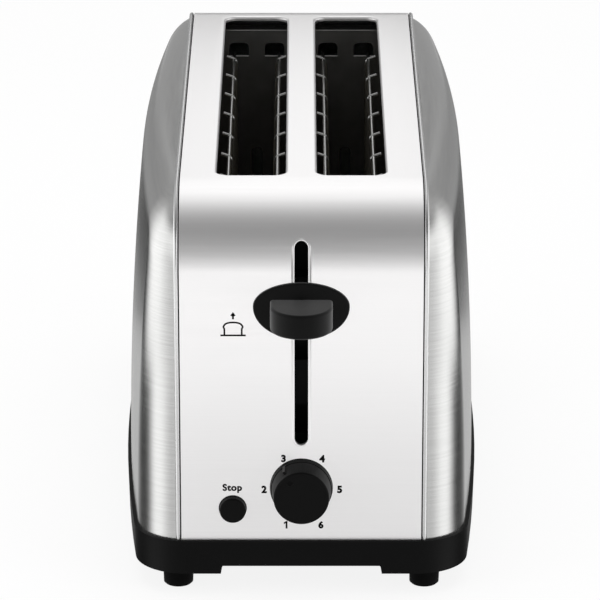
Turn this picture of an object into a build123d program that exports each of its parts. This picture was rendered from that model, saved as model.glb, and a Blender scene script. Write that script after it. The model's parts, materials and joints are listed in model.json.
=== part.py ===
"""Long-slot pop-up toaster: steel wrap on a black base, with its carriage, heaters and controls inside.

Millimetres, +Z up. The lever end faces -Y. The origin is on the floor, under the middle of the whole box.
"""

import os
from math import sqrt

from build123d import *

os.makedirs("parts", exist_ok=True)

# Body: a side profile with rounded ends, cut by two large spheres that give the sides their bulge
BODY_LENGTH = 353
BODY_TOP = 200.3
BODY_BOTTOM = 28.6
BODY_HALF_WIDTH = 87.2
SIDE_RADIUS = 1516
CORNER_RADIUS = 36
RIM_RADIUS = 24
SHELL_WALL = 0.9

# Reach of the lever in front of the body, and of the tray's pull behind it
PLATE_GAP = 0.6
PLATE_THICKNESS = 2.0
GRIP_REACH = 22.9
LEVER_REACH = PLATE_GAP + PLATE_THICKNESS + GRIP_REACH
REAR_REACH = 9.0

BODY_MID = (LEVER_REACH - REAR_REACH) / 2
FRONT = BODY_MID - BODY_LENGTH / 2
REAR = BODY_MID + BODY_LENGTH / 2

# Centre band and the trims beside it
BAND_WIDTH = 115
BAND_WALL = 0.8
TRIM_INNER_X = 57.9
TRIM_OUTER_X = 60.1
TRIM_RISE = 0.3
TRIM_WEB = 1.2
TRIM_DEPTH = 4.0
TRIM_FLANGE = 4.5
TRIM_SPAN = TRIM_OUTER_X - TRIM_INNER_X + TRIM_FLANGE
TRIM_MIDDLE = TRIM_OUTER_X - TRIM_SPAN / 2

# Bread slots in the band
SLOT_X = 23.9
SLOT_WIDTH = 33
SLOT_START = 38.7
SLOT_END = 313.9
SLOT_CORNER = 6
SLOT_COLLAR = 2.2
COLLAR_BEND = 1.2
HOLE_DEPTH = 8
SLOT_MID = FRONT + (SLOT_START + SLOT_END) / 2
SLOT_LENGTH = SLOT_END - SLOT_START

# Base moulding
BASE_BOTTOM = 11.5
BASE_LEDGE = 1.7
BASE_FOOT = 1.2
BASE_WALL = 3.2
FLOOR_BOTTOM = 15.6
FLOOR_TOP = 18.1
LIP_HEIGHT = 4
LIP_GAP = 1.2
NOTCH_WIDTH = 76
NOTCH_SLANT = 0.7
NOTCH_CORNER = 0.8
VENT_WIDTH = 3
VENT_LENGTH = 40
VENT_SPACING = 48
VENT_INSET = 12

# Feet
FOOT_X = 59.6
FOOT_INSET = 16
FOOT_TOP_RADIUS = 7.5
FOOT_BOTTOM_RADIUS = 7.1
FOOT_BEVEL = 0.8
FOOT_BOSS = 9
STEM_RADIUS = 2.5
STEM_LENGTH = 3

# Lever
LEVER_Z = 146.1
LEVER_DOWN = 58
LEVER_SLOT_WIDTH = 6.3
LEVER_SLOT_BOTTOM = 77.8
LEVER_SLOT_TOP = 179.2
PLATE_TIP_Z = LEVER_Z + 2.0
PLATE_HALF_WIDTH = 22.8
PLATE_RISE = 11.9
PLATE_DROP = 16.4
GRIP_WIDTH = 29.4
GRIP_HEIGHT = 12.0
GRIP_TOP = LEVER_Z + 5.8
TONGUE_WIDTH = 5
TONGUE_HEIGHT = 8
TONGUE_SINK = 12

# Browning knob and stop button
KNOB_Z = 55.9
KNOB_GAP = 0.6
SKIRT_RADIUS = 15.1
SKIRT_HEIGHT = 3.2
KNOB_RADIUS = 14.2
CAP_RADIUS = 13.2
KNOB_HEIGHT = 14
KNOB_EDGE = 0.9
POINTER_ANGLE = -35
SHAFT_RADIUS = 3
BUTTON_X = -32.8
BUTTON_Z = 45.0
BUTTON_RADIUS = 6.3
BUTTON_REACH = 3.6
BUTTON_TRAVEL = 2.8
RUNNING_GAP = 0.05

# Toasting chamber
FRONT_PLATE = FRONT + 35.2
REAR_PLATE = FRONT + 315.5
SHEET = 0.8
CHAMBER_BOTTOM = 28.3
CHAMBER_TOP = 192.7
CHAMBER_HALF_WIDTH = 54
CHAMBER_FRONT = FRONT_PLATE + SHEET
CHAMBER_MID = (CHAMBER_FRONT + REAR_PLATE) / 2
CHAMBER_LENGTH = REAR_PLATE - CHAMBER_FRONT
LEG_WIDTH = 7
LEG_FOOT = 11
HEATER_X = 46.5
HEATER_BOTTOM = 46.3
HEATER_TOP = 172.3
MICA = 0.6
RIBBON_WIDTH = 1.8
RIBBON_THICKNESS = 0.4
RIBBON_ROWS = 13

# Bread guides
WIRE_RADIUS = 0.9
WIRE_SIDES = 6
GUIDE_RAIL = 12.1
GUIDE_TOP = 179.3
GUIDE_BOTTOM = 54.3
GUIDE_WIRES = 8
GUIDE_PITCH = 34.4
GUIDE_FIRST = 63
TIP_OUT = 5.2
TIP_UP = 1.8
GUIDE_HOLE = 10.5
GUIDE_HOLE_HEIGHT = 7
GUIDE_HOLE_ROUND = 2.8

# Carriage, racks and rods
RACK_TOP = 99.3
RACK_HEIGHT = 6
RACK_WALL = 1.2
RACK_WIDTH = 12
RACK_TOOTH = 7
RACK_TEETH = 12
RACK_SLOT = 5.4
RACK_SLOT_TOP = 126.6
RACK_SLOT_BOTTOM = 33.3
CARRIAGE_Y = FRONT + 23
CARRIAGE_WALL = 1.2
CARRIAGE_BOTTOM = 92.3
CARRIAGE_TOP = 154.3
CARRIAGE_HALF_WIDTH = 33
CARRIAGE_FLANGE = 9.5
ROD_X = 14
ROD_Y = FRONT + 28
ROD_RADIUS = 2
ROD_BOSS = 4.5
ROD_SOCKET = 3
GANTRY_BOTTOM = 189.3
GANTRY_REACH = 17
SPRING_X = 26
SPRING_RADIUS = 3.6
SPRING_WIRE = 0.45
ARMATURE = 3
MAGNET_GAP = 0.4

# Controls behind the front
BRACKET_WALL = 2
BRACKET_TOP = 74.3
BRACKET_HALF_WIDTH = 46
TUBE_WALL = 2
TUBE_END = FRONT + 8
BOARD_Y = FRONT + 19
BOARD_WALL = 1.6
BOARD_TOP = 76.3
BOARD_HALF_WIDTH = 44
BOARD_RIB = 2
BOARD_RIB_X = 38
BOARD_RIB_LENGTH = 6
BOARD_RIB_HEIGHT = 12
POT_RADIUS = 8.5
POT_DEPTH = 8
SWITCH_SIZE = 10

# Crumb tray and lead gland
TRAY_HALF_WIDTH = 44
TRAY_START = FRONT + 44
TRAY_HEIGHT = 7
TRAY_WALL = 0.8
TRAY_MOUTH = 9
PULL_HALF_WIDTH = 48
PULL_GAP = 0.4
PULL_THICKNESS = 2.6
GLAND_X = 59
GLAND_WIDTH = 11
GLAND_DEPTH = 12.4
GLAND_REACH = 4
GLAND_BORE = 3.4

# Sheet folds, screws and small pieces inside
REAR_FOLD = 9
REFLECTOR_FOLD = 7
REFLECTOR_TOP = 186.3
RIBBON_MARGIN = 8
SCREW_LENGTH = 6
SCREW_RADIUS = 1.75
SCREW_HEAD = 3.4
SCREW_HEAD_HEIGHT = 2.2
GUIDE_HOLE_SHIFT = 9.6
GUIDE_TAIL = 2
WIRE_LAP = 1.3
RACK_TAIL = 6
RACK_PITCH = 21
WINDOW_WIDTH = 36
WINDOW_HEIGHT = 22
LOWER_FLANGE_HALF_WIDTH = 20
ARMATURE_WIDTH = 16
ARMATURE_DEPTH = 9
TONGUE_END = FRONT - PLATE_GAP - PLATE_THICKNESS - TONGUE_SINK
PLATE_EDGE = 0.9
GRIP_EDGE = 1.4
MAGNET_FOOT = 13.5
MAGNET_FOOT_HEIGHT = 1.5
CORE_RADIUS = 3.5
COIL_RADIUS = 6.8
BUSH_RADIUS = 4.4
SHAFT_END = FRONT + 14
SHAFT_TIP = FRONT - KNOB_GAP - KNOB_HEIGHT + 4
SKIRT_TAPER = 0.5
DIMPLE_OUT = 9.4
DIMPLE_RADIUS = 1.4
DIMPLE_DEPTH = 1.6
RIDGE = 1.2
RIDGE_LENGTH = 7
COLLAR = 1.4
COLLAR_RADIUS = 8
STEM_END = TUBE_END + 3
SWITCH_DEPTH = 4
SWITCH_GAP = 0.4
PLUNGER_RADIUS = 1.8
PULL_BOTTOM = 16.7
PULL_TOP = 28.1
PULL_SCOOP = 4


def facing(y):
    """Plane at depth y that looks out of the front: its x is X, its y is Z, and it grows towards -Y."""
    return Plane.XZ.offset(-y)


def beside(x):
    """Plane at x that looks out of the right side: its x is Y, its y is Z."""
    return Plane.YZ.offset(x)


def level(z):
    return Plane.XY.offset(z)


def save(part, name):
    part.label = name
    export_step(part, f"parts/{name}.step")


def side_profile(inset, bottom):
    """Outline of the body seen from the side, moved inwards by inset and closed at the bottom."""
    with BuildSketch() as outline:
        with Locations((BODY_MID, (BODY_TOP - inset + bottom) / 2)):
            Rectangle(BODY_LENGTH - 2 * inset, BODY_TOP - inset - bottom)
        fillet(outline.vertices().group_by(Axis.Y)[-1], CORNER_RADIUS - inset)
    return outline.sketch


def plan_outline(grow):
    """Outline of the body seen from above at its widest level, moved outwards by grow."""
    half_width = BODY_HALF_WIDTH + grow
    half_length = BODY_LENGTH / 2 + grow
    side_radius = SIDE_RADIUS + grow
    corner_x = half_width - side_radius + sqrt(side_radius**2 - half_length**2)
    with BuildSketch() as outline:
        with BuildLine():
            front = Line((-corner_x, FRONT - grow), (corner_x, FRONT - grow))
            right = ThreePointArc(front @ 1, (half_width, BODY_MID), (corner_x, REAR + grow))
            rear = Line(right @ 1, (-corner_x, REAR + grow))
            ThreePointArc(rear @ 1, (-half_width, BODY_MID), front @ 0)
        make_face()
        fillet(outline.vertices(), RIM_RADIUS + grow)
    return outline.sketch


def envelope(inset, bottom):
    """Solid of the whole body under the steel, moved inwards by inset."""
    with BuildPart() as solid:
        with BuildSketch(Plane.YZ):
            add(side_profile(inset, bottom))
        extrude(amount=BODY_HALF_WIDTH, both=True)
        for side in (1, -1):
            with Locations((side * (BODY_HALF_WIDTH - SIDE_RADIUS), BODY_MID, BODY_BOTTOM)):
                Sphere(SIDE_RADIUS - inset, rotation=(0, 0, 90 + 90 * side), mode=Mode.INTERSECT)
        bulges = solid.faces().filter_by(GeomType.SPHERE)
        rim = [edge for edge in bulges.edges() if edge.center().Z > bottom + 1]
        fillet(rim, RIM_RADIUS - inset)
    return solid.part


# Steel side shells: the outer envelope less the same envelope one wall further in, cut off at the trim
outside = envelope(0, BODY_BOTTOM)
inside = envelope(SHELL_WALL, BODY_BOTTOM - 5)

with BuildPart() as right_side_shell:
    add(outside)
    add(inside, mode=Mode.SUBTRACT)
    split(bisect_by=beside(TRIM_OUTER_X))

with BuildPart() as left_side_shell:
    mirror(right_side_shell.part, about=Plane.YZ)

# Centre band: one bent sheet with the bread slots, the lever slot and the holes of the controls
with BuildPart() as centre_band:
    with BuildSketch(Plane.YZ):
        add(side_profile(0, BODY_BOTTOM))
        add(side_profile(BAND_WALL, BODY_BOTTOM - 5), mode=Mode.SUBTRACT)
    extrude(amount=BAND_WIDTH / 2, both=True)
    # bread slots, each with its edge turned down into a collar
    for slot_z, depth, grow, mode in (
        (BODY_TOP - BAND_WALL / 2, SLOT_COLLAR, BAND_WALL, Mode.ADD),
        (BODY_TOP, SLOT_COLLAR + BAND_WALL, 0, Mode.SUBTRACT),
    ):
        with BuildSketch(level(slot_z)):
            with Locations((-SLOT_X, SLOT_MID), (SLOT_X, SLOT_MID)):
                RectangleRounded(SLOT_WIDTH + 2 * grow, SLOT_LENGTH + 2 * grow, SLOT_CORNER + grow)
        extrude(amount=-depth, mode=mode)
    top_face = centre_band.faces().filter_by(Axis.Z).sort_by(Axis.Z)[-1]
    fillet(top_face.inner_wires().edges(), COLLAR_BEND)
    with BuildSketch(facing(FRONT - 1)):
        with Locations((0, (LEVER_SLOT_BOTTOM + LEVER_SLOT_TOP) / 2)):
            SlotOverall(LEVER_SLOT_TOP - LEVER_SLOT_BOTTOM, LEVER_SLOT_WIDTH, rotation=90)
        with Locations((0, KNOB_Z)):
            Circle(SHAFT_RADIUS + 1)
        with Locations((BUTTON_X, BUTTON_Z)):
            Circle(BUTTON_RADIUS + 0.4)
    extrude(amount=-HOLE_DEPTH, mode=Mode.SUBTRACT)

# Seam trims: a rounded bead with a web between band and shell and a flange under the band
with BuildPart() as right_seam_trim:
    with BuildLine(beside(TRIM_OUTER_X)) as trim_path:
        rise = Line((FRONT, BODY_BOTTOM), (FRONT, BODY_TOP - CORNER_RADIUS))
        bend = RadiusArc(rise @ 1, (FRONT + CORNER_RADIUS, BODY_TOP), CORNER_RADIUS)
        run = Line(bend @ 1, (REAR - CORNER_RADIUS, BODY_TOP))
        drop = RadiusArc(run @ 1, (REAR, BODY_TOP - CORNER_RADIUS), CORNER_RADIUS)
        Line(drop @ 1, (REAR, BODY_BOTTOM))
    with BuildSketch(level(BODY_BOTTOM)) as trim_section:
        with BuildLine():
            bead_foot = FRONT + BAND_WALL
            bead_side = FRONT - TRIM_RISE + (TRIM_OUTER_X - TRIM_INNER_X) / 2
            outer = Line((TRIM_OUTER_X, FRONT + TRIM_DEPTH), (TRIM_OUTER_X, bead_side))
            bead_top = ((TRIM_INNER_X + TRIM_OUTER_X) / 2, FRONT - TRIM_RISE)
            bead = ThreePointArc(outer @ 1, bead_top, (TRIM_INNER_X, bead_side))
            Polyline(
                bead @ 1,
                (TRIM_INNER_X, bead_foot + SHEET),
                (TRIM_INNER_X - TRIM_FLANGE, bead_foot + SHEET),
                (TRIM_INNER_X - TRIM_FLANGE, bead_foot + 2 * SHEET),
                (TRIM_OUTER_X - TRIM_WEB, bead_foot + 2 * SHEET),
                (TRIM_OUTER_X - TRIM_WEB, FRONT + TRIM_DEPTH),
                outer @ 0,
            )
        make_face()
    sweep(path=trim_path.wires()[0])

with BuildPart() as left_seam_trim:
    mirror(right_seam_trim.part, about=Plane.YZ)

# Base: drafted rim with a ledge for the steel, a floor, a locating lip and bosses for rods and feet
FOOT_PLACES = [(x, y) for x in (-FOOT_X, FOOT_X) for y in (FRONT + FOOT_INSET, REAR - FOOT_INSET)]
LEG_X = CHAMBER_HALF_WIDTH - LEG_WIDTH / 2
FRONT_SCREW = FRONT_PLATE - LEG_FOOT / 2
REAR_SCREW = REAR_PLATE + SHEET + LEG_FOOT / 2
SCREW_PLACES = [(x, y) for x in (-LEG_X, LEG_X) for y in (FRONT_SCREW, REAR_SCREW)]
ROD_PLACES = [(-ROD_X, ROD_Y), (ROD_X, ROD_Y)]

with BuildPart() as base:
    with BuildSketch(level(BASE_BOTTOM)):
        add(plan_outline(BASE_FOOT))
    with BuildSketch(level(BODY_BOTTOM)):
        add(plan_outline(BASE_LEDGE))
    loft(ruled=True)
    with BuildSketch(level(FLOOR_TOP)):
        add(plan_outline(-BASE_WALL))
    extrude(amount=BODY_BOTTOM, mode=Mode.SUBTRACT)
    with BuildSketch(level(BASE_BOTTOM)):
        add(plan_outline(-BASE_WALL))
    extrude(amount=FLOOR_BOTTOM - BASE_BOTTOM, mode=Mode.SUBTRACT)
    with BuildSketch(level(BODY_BOTTOM - 1)):
        add(plan_outline(-LIP_GAP))
        add(plan_outline(-BASE_WALL), mode=Mode.SUBTRACT)
    extrude(amount=LIP_HEIGHT + 1)
    with BuildSketch(level(FLOOR_BOTTOM)):
        with Locations(*FOOT_PLACES):
            Circle(FOOT_BOSS)
    extrude(amount=BASE_BOTTOM - FLOOR_BOTTOM)
    with Locations(*[(x, y, BASE_BOTTOM) for x, y in FOOT_PLACES]):
        Cylinder(STEM_RADIUS + RUNNING_GAP, 2 * STEM_LENGTH, mode=Mode.SUBTRACT)
    with BuildSketch(level(FLOOR_TOP)):
        with Locations(*ROD_PLACES):
            Circle(ROD_BOSS)
    extrude(amount=ROD_SOCKET)
    with BuildSketch(level(FLOOR_TOP)):
        with Locations(*ROD_PLACES):
            Circle(ROD_RADIUS)
    extrude(amount=ROD_SOCKET, mode=Mode.SUBTRACT)
    with BuildSketch(level(FLOOR_BOTTOM)):
        with Locations(*SCREW_PLACES):
            Circle(SCREW_RADIUS)
    extrude(amount=FLOOR_TOP - FLOOR_BOTTOM, mode=Mode.SUBTRACT)
    # raised middle of the lower front edge, with slanted ends and rounded upper corners
    with BuildSketch(facing(FRONT + BASE_WALL)) as notch:
        with BuildLine():
            Polyline(
                (-NOTCH_WIDTH / 2 - NOTCH_SLANT, BASE_BOTTOM),
                (-NOTCH_WIDTH / 2, FLOOR_BOTTOM),
                (NOTCH_WIDTH / 2, FLOOR_BOTTOM),
                (NOTCH_WIDTH / 2 + NOTCH_SLANT, BASE_BOTTOM),
                close=True,
            )
        make_face()
        fillet(notch.vertices().group_by(Axis.Y)[-1], NOTCH_CORNER)
    extrude(amount=2 * BASE_WALL, mode=Mode.SUBTRACT)
    # gaps in the lip where the trims come down
    with BuildSketch(level(BODY_BOTTOM)):
        with Locations((0, BODY_MID)):
            with GridLocations(2 * TRIM_MIDDLE, BODY_LENGTH, 2, 2):
                Rectangle(TRIM_SPAN + 1, 4 * TRIM_DEPTH)
    extrude(amount=LIP_HEIGHT, mode=Mode.SUBTRACT)
    # pairs of ribs that hold the circuit board upright
    with BuildSketch(level(FLOOR_TOP)):
        with Locations((0, BOARD_Y + BOARD_WALL / 2)):
            with GridLocations(2 * BOARD_RIB_X, BOARD_WALL + BOARD_RIB, 2, 2):
                Rectangle(BOARD_RIB_LENGTH, BOARD_RIB)
    extrude(amount=BOARD_RIB_HEIGHT)
    # mouth of the crumb tray in the rear wall
    with BuildSketch(facing(REAR + BASE_LEDGE + 1)):
        with Locations((0, FLOOR_TOP + TRAY_MOUTH / 2)):
            Rectangle(2 * TRAY_HALF_WIDTH + 2, TRAY_MOUTH)
    extrude(amount=BASE_WALL + BASE_LEDGE + 2, mode=Mode.SUBTRACT)
    # open-topped notch that the lead's gland drops into
    with BuildSketch(facing(REAR + BASE_LEDGE + 1)):
        with Locations((GLAND_X, FLOOR_TOP + LIP_HEIGHT + BODY_BOTTOM / 2)):
            Rectangle(GLAND_WIDTH, BODY_BOTTOM + 2 * LIP_HEIGHT)
    extrude(amount=GLAND_DEPTH, mode=Mode.SUBTRACT)
    # cooling slots under the controls
    with BuildSketch(level(FLOOR_BOTTOM)):
        with Locations((0, FRONT + VENT_INSET)):
            with GridLocations(VENT_SPACING, 2 * VENT_WIDTH, 2, 2):
                SlotOverall(VENT_LENGTH, VENT_WIDTH)
    extrude(amount=FLOOR_TOP - FLOOR_BOTTOM, mode=Mode.SUBTRACT)

with BuildPart() as foot:
    with BuildSketch(Plane.XZ) as foot_section:
        with BuildLine():
            Polyline(
                (0, 0),
                (FOOT_BOTTOM_RADIUS, 0),
                (FOOT_TOP_RADIUS, BASE_BOTTOM),
                (STEM_RADIUS, BASE_BOTTOM),
                (STEM_RADIUS, BASE_BOTTOM + STEM_LENGTH),
                (0, BASE_BOTTOM + STEM_LENGTH),
                close=True,
            )
        make_face()
        rim_corner = foot_section.vertices().group_by(Axis.Y)[0].sort_by(Axis.X)[-1]
        chamfer(rim_corner, FOOT_BEVEL)
    revolve(axis=Axis.Z)

with BuildPart() as feet:
    with Locations(*FOOT_PLACES):
        add(foot.part)

save(right_side_shell.part, "right_side_shell")
save(left_side_shell.part, "left_side_shell")
save(centre_band.part, "centre_band")
save(right_seam_trim.part, "right_seam_trim")
save(left_seam_trim.part, "left_seam_trim")
save(base.part, "base")
save(feet.part, "feet")

# Screws from under the floor into the feet of the chamber's end plates
with BuildPart() as screw:
    with Locations((0, 0, FLOOR_BOTTOM)):
        Cylinder(SCREW_HEAD, SCREW_HEAD_HEIGHT, align=(Align.CENTER, Align.CENTER, Align.MAX))
        Cylinder(SCREW_RADIUS, SCREW_LENGTH, align=(Align.CENTER, Align.CENTER, Align.MIN))
    chamfer(screw.edges().sort_by(Axis.Z)[0], SCREW_HEAD_HEIGHT / 2)

with BuildPart() as base_screws:
    with Locations(*SCREW_PLACES):
        add(screw.part)

save(base_screws.part, "base_screws")


def guide_hole():
    """Oblong hole that a guide's rail slides in: level below, with rounded upper corners."""
    with BuildSketch() as hole:
        Rectangle(GUIDE_HOLE, GUIDE_HOLE_HEIGHT)
        fillet(hole.vertices().group_by(Axis.Y)[-1], GUIDE_HOLE_ROUND)
    return hole.sketch


def end_plate_outline(top):
    """Sheet at one end of the chamber: two legs, rack slots, and the oblong holes of the bread guides."""
    with BuildSketch() as outline:
        with Locations((0, (CHAMBER_BOTTOM + top) / 2)):
            Rectangle(2 * CHAMBER_HALF_WIDTH, top - CHAMBER_BOTTOM)
        with Locations((-LEG_X, (FLOOR_TOP + CHAMBER_BOTTOM) / 2), (LEG_X, (FLOOR_TOP + CHAMBER_BOTTOM) / 2)):
            Rectangle(LEG_WIDTH, CHAMBER_BOTTOM - FLOOR_TOP)
        with Locations((0, (RACK_SLOT_BOTTOM + RACK_SLOT_TOP) / 2)):
            with GridLocations(2 * SLOT_X, 0, 2, 1):
                SlotOverall(RACK_SLOT_TOP - RACK_SLOT_BOTTOM, RACK_SLOT, rotation=90, mode=Mode.SUBTRACT)
        for rail_z in (GUIDE_BOTTOM, GUIDE_TOP):
            with Locations((0, rail_z - WIRE_RADIUS + GUIDE_HOLE_HEIGHT / 2)):
                for centre in (SLOT_X - GUIDE_HOLE_SHIFT, SLOT_X + GUIDE_HOLE_SHIFT):
                    with GridLocations(2 * centre, 0, 2, 1):
                        add(guide_hole(), mode=Mode.SUBTRACT)
    return outline.sketch


# Front end plate: its folded top carries the rods and springs, its feet point forwards
with BuildPart() as front_end_plate:
    with BuildSketch(facing(CHAMBER_FRONT)):
        add(end_plate_outline(GANTRY_BOTTOM + SHEET))
    extrude(amount=SHEET)
    with BuildSketch(level(GANTRY_BOTTOM)):
        with Locations((0, FRONT_PLATE - GANTRY_REACH / 2)):
            Rectangle(2 * CARRIAGE_HALF_WIDTH, GANTRY_REACH)
        with Locations(*ROD_PLACES):
            Circle(ROD_RADIUS, mode=Mode.SUBTRACT)
    extrude(amount=SHEET)
    with BuildSketch(level(FLOOR_TOP)):
        with Locations((-LEG_X, FRONT_SCREW), (LEG_X, FRONT_SCREW)):
            Rectangle(LEG_WIDTH, LEG_FOOT)
            Circle(SCREW_RADIUS, mode=Mode.SUBTRACT)
    extrude(amount=SHEET)

# Rear end plate: folded over at the top, its feet point backwards
with BuildPart() as rear_end_plate:
    with BuildSketch(facing(REAR_PLATE + SHEET)):
        add(end_plate_outline(CHAMBER_TOP))
    extrude(amount=SHEET)
    with BuildSketch(level(CHAMBER_TOP - SHEET)):
        with Locations((0, REAR_PLATE + SHEET + REAR_FOLD / 2)):
            Rectangle(2 * CHAMBER_HALF_WIDTH, REAR_FOLD)
    extrude(amount=SHEET)
    with BuildSketch(level(FLOOR_TOP)):
        with Locations((-LEG_X, REAR_SCREW), (LEG_X, REAR_SCREW)):
            Rectangle(LEG_WIDTH, LEG_FOOT)
            Circle(SCREW_RADIUS, mode=Mode.SUBTRACT)
    extrude(amount=SHEET)

save(front_end_plate.part, "front_end_plate")
save(rear_end_plate.part, "rear_end_plate")

# Side reflectors: sheets along the chamber with both long edges folded outwards
with BuildPart() as right_reflector:
    with BuildSketch(facing(REAR_PLATE + SHEET)):
        with BuildLine():
            Polyline(
                (CHAMBER_HALF_WIDTH + REFLECTOR_FOLD, CHAMBER_BOTTOM + SHEET / 2),
                (CHAMBER_HALF_WIDTH + SHEET / 2, CHAMBER_BOTTOM + SHEET / 2),
                (CHAMBER_HALF_WIDTH + SHEET / 2, REFLECTOR_TOP),
                (CHAMBER_HALF_WIDTH + REFLECTOR_FOLD, REFLECTOR_TOP),
            )
        trace(line_width=SHEET)
    extrude(amount=REAR_PLATE + SHEET - FRONT_PLATE)

with BuildPart() as left_reflector:
    mirror(right_reflector.part, about=Plane.YZ)

save(right_reflector.part, "right_reflector")
save(left_reflector.part, "left_reflector")


def heater_board(x):
    """Mica sheet between the end plates, its middle plane at x."""
    with BuildPart() as board:
        with BuildSketch(beside(x - MICA / 2)):
            with Locations((CHAMBER_MID, (HEATER_BOTTOM + HEATER_TOP) / 2)):
                Rectangle(CHAMBER_LENGTH, HEATER_TOP - HEATER_BOTTOM)
        extrude(amount=MICA)
    return board.part


def heater_ribbon(x):
    """Resistance ribbon that runs to and fro in level rows, its back at x, standing off towards +X."""
    length = CHAMBER_LENGTH - 2 * RIBBON_MARGIN
    pitch = (HEATER_TOP - HEATER_BOTTOM - 2 * RIBBON_MARGIN) / (RIBBON_ROWS - 1)
    with BuildPart() as ribbon:
        with BuildSketch(beside(x)):
            for row in range(RIBBON_ROWS):
                row_z = HEATER_BOTTOM + RIBBON_MARGIN + row * pitch
                with Locations((CHAMBER_MID, row_z)):
                    Rectangle(length, RIBBON_WIDTH)
                if row < RIBBON_ROWS - 1:
                    end = CHAMBER_MID + (length - RIBBON_WIDTH) / 2 * (-1) ** row
                    with Locations((end, row_z + pitch / 2)):
                        Rectangle(RIBBON_WIDTH, pitch)
        extrude(amount=RIBBON_THICKNESS)
    return ribbon.part


# Heaters: outer boards with a ribbon facing the bread, middle board with one on each face
with BuildPart() as right_heater_board:
    add(heater_board(HEATER_X))

with BuildPart() as left_heater_board:
    add(heater_board(-HEATER_X))

with BuildPart() as middle_heater_board:
    add(heater_board(0))

with BuildPart() as left_heater_ribbon:
    add(heater_ribbon(-HEATER_X + MICA / 2))

with BuildPart() as right_heater_ribbon:
    mirror(left_heater_ribbon.part, about=Plane.YZ)

with BuildPart() as middle_heater_ribbons:
    add(heater_ribbon(MICA / 2))
    mirror(about=Plane.YZ)

save(right_heater_board.part, "right_heater_board")
save(left_heater_board.part, "left_heater_board")
save(middle_heater_board.part, "middle_heater_board")
save(left_heater_ribbon.part, "left_heater_ribbon")
save(right_heater_ribbon.part, "right_heater_ribbon")
save(middle_heater_ribbons.part, "middle_heater_ribbons")


def guide_wire(x, outward):
    """Upright wire of a bread guide in the plane Y = 0, its top bent away from the bread."""
    foot_z = GUIDE_BOTTOM - 2 * WIRE_RADIUS
    with BuildPart() as wire:
        with BuildLine(Plane.XZ) as wire_path:
            Polyline((x, foot_z), (x, GUIDE_TOP), (x + outward * TIP_OUT, GUIDE_TOP + TIP_UP))
        with BuildSketch(level(foot_z)):
            with Locations((x, 0)):
                RegularPolygon(WIRE_RADIUS, WIRE_SIDES)
        sweep(path=wire_path.wires()[0], transition=Transition.RIGHT)
    return wire.part


def bread_guide(side, outward):
    """Two rails through the end plates with a row of wires welded on the bread's side."""
    rail_x = side * SLOT_X + outward * GUIDE_RAIL
    wire = guide_wire(rail_x - outward * WIRE_LAP, outward)
    with BuildPart() as guide:
        with BuildSketch(facing(REAR_PLATE + GUIDE_TAIL)):
            with Locations((rail_x, GUIDE_BOTTOM), (rail_x, GUIDE_TOP)):
                RegularPolygon(WIRE_RADIUS, WIRE_SIDES)
        extrude(amount=REAR_PLATE - FRONT_PLATE + 2 * GUIDE_TAIL)
        with Locations(*[(0, FRONT + GUIDE_FIRST + GUIDE_PITCH * i, 0) for i in range(GUIDE_WIRES)]):
            add(wire)
    return guide.part


# Bread guides: an outer and an inner one for each slot
with BuildPart() as right_outer_guide:
    add(bread_guide(1, 1))

with BuildPart() as right_inner_guide:
    add(bread_guide(1, -1))

with BuildPart() as left_outer_guide:
    mirror(right_outer_guide.part, about=Plane.YZ)

with BuildPart() as left_inner_guide:
    mirror(right_inner_guide.part, about=Plane.YZ)

save(right_outer_guide.part, "right_outer_guide")
save(right_inner_guide.part, "right_inner_guide")
save(left_outer_guide.part, "left_outer_guide")
save(left_inner_guide.part, "left_inner_guide")

# Bread racks: upright strips through the end plates, with teeth bent to either side under the bread
with BuildPart() as right_bread_rack:
    rack_start = CARRIAGE_Y + CARRIAGE_WALL
    rack_end = REAR_PLATE + RACK_TAIL
    with BuildSketch(level(RACK_TOP - RACK_HEIGHT)):
        with Locations((SLOT_X, (rack_start + rack_end) / 2)):
            Rectangle(RACK_WALL, rack_end - rack_start)
    extrude(amount=RACK_HEIGHT)
    with BuildSketch(level(RACK_TOP - RACK_WALL)):
        for tooth in range(RACK_TEETH):
            tooth_x = SLOT_X + RACK_WIDTH / 4 * (-1) ** tooth
            with Locations((tooth_x, CHAMBER_MID + (tooth - (RACK_TEETH - 1) / 2) * RACK_PITCH)):
                Rectangle(RACK_WIDTH / 2, RACK_TOOTH)
    extrude(amount=RACK_WALL)

with BuildPart() as left_bread_rack:
    mirror(right_bread_rack.part, about=Plane.YZ)

save(right_bread_rack.part, "right_bread_rack")
save(left_bread_rack.part, "left_bread_rack")

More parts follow.
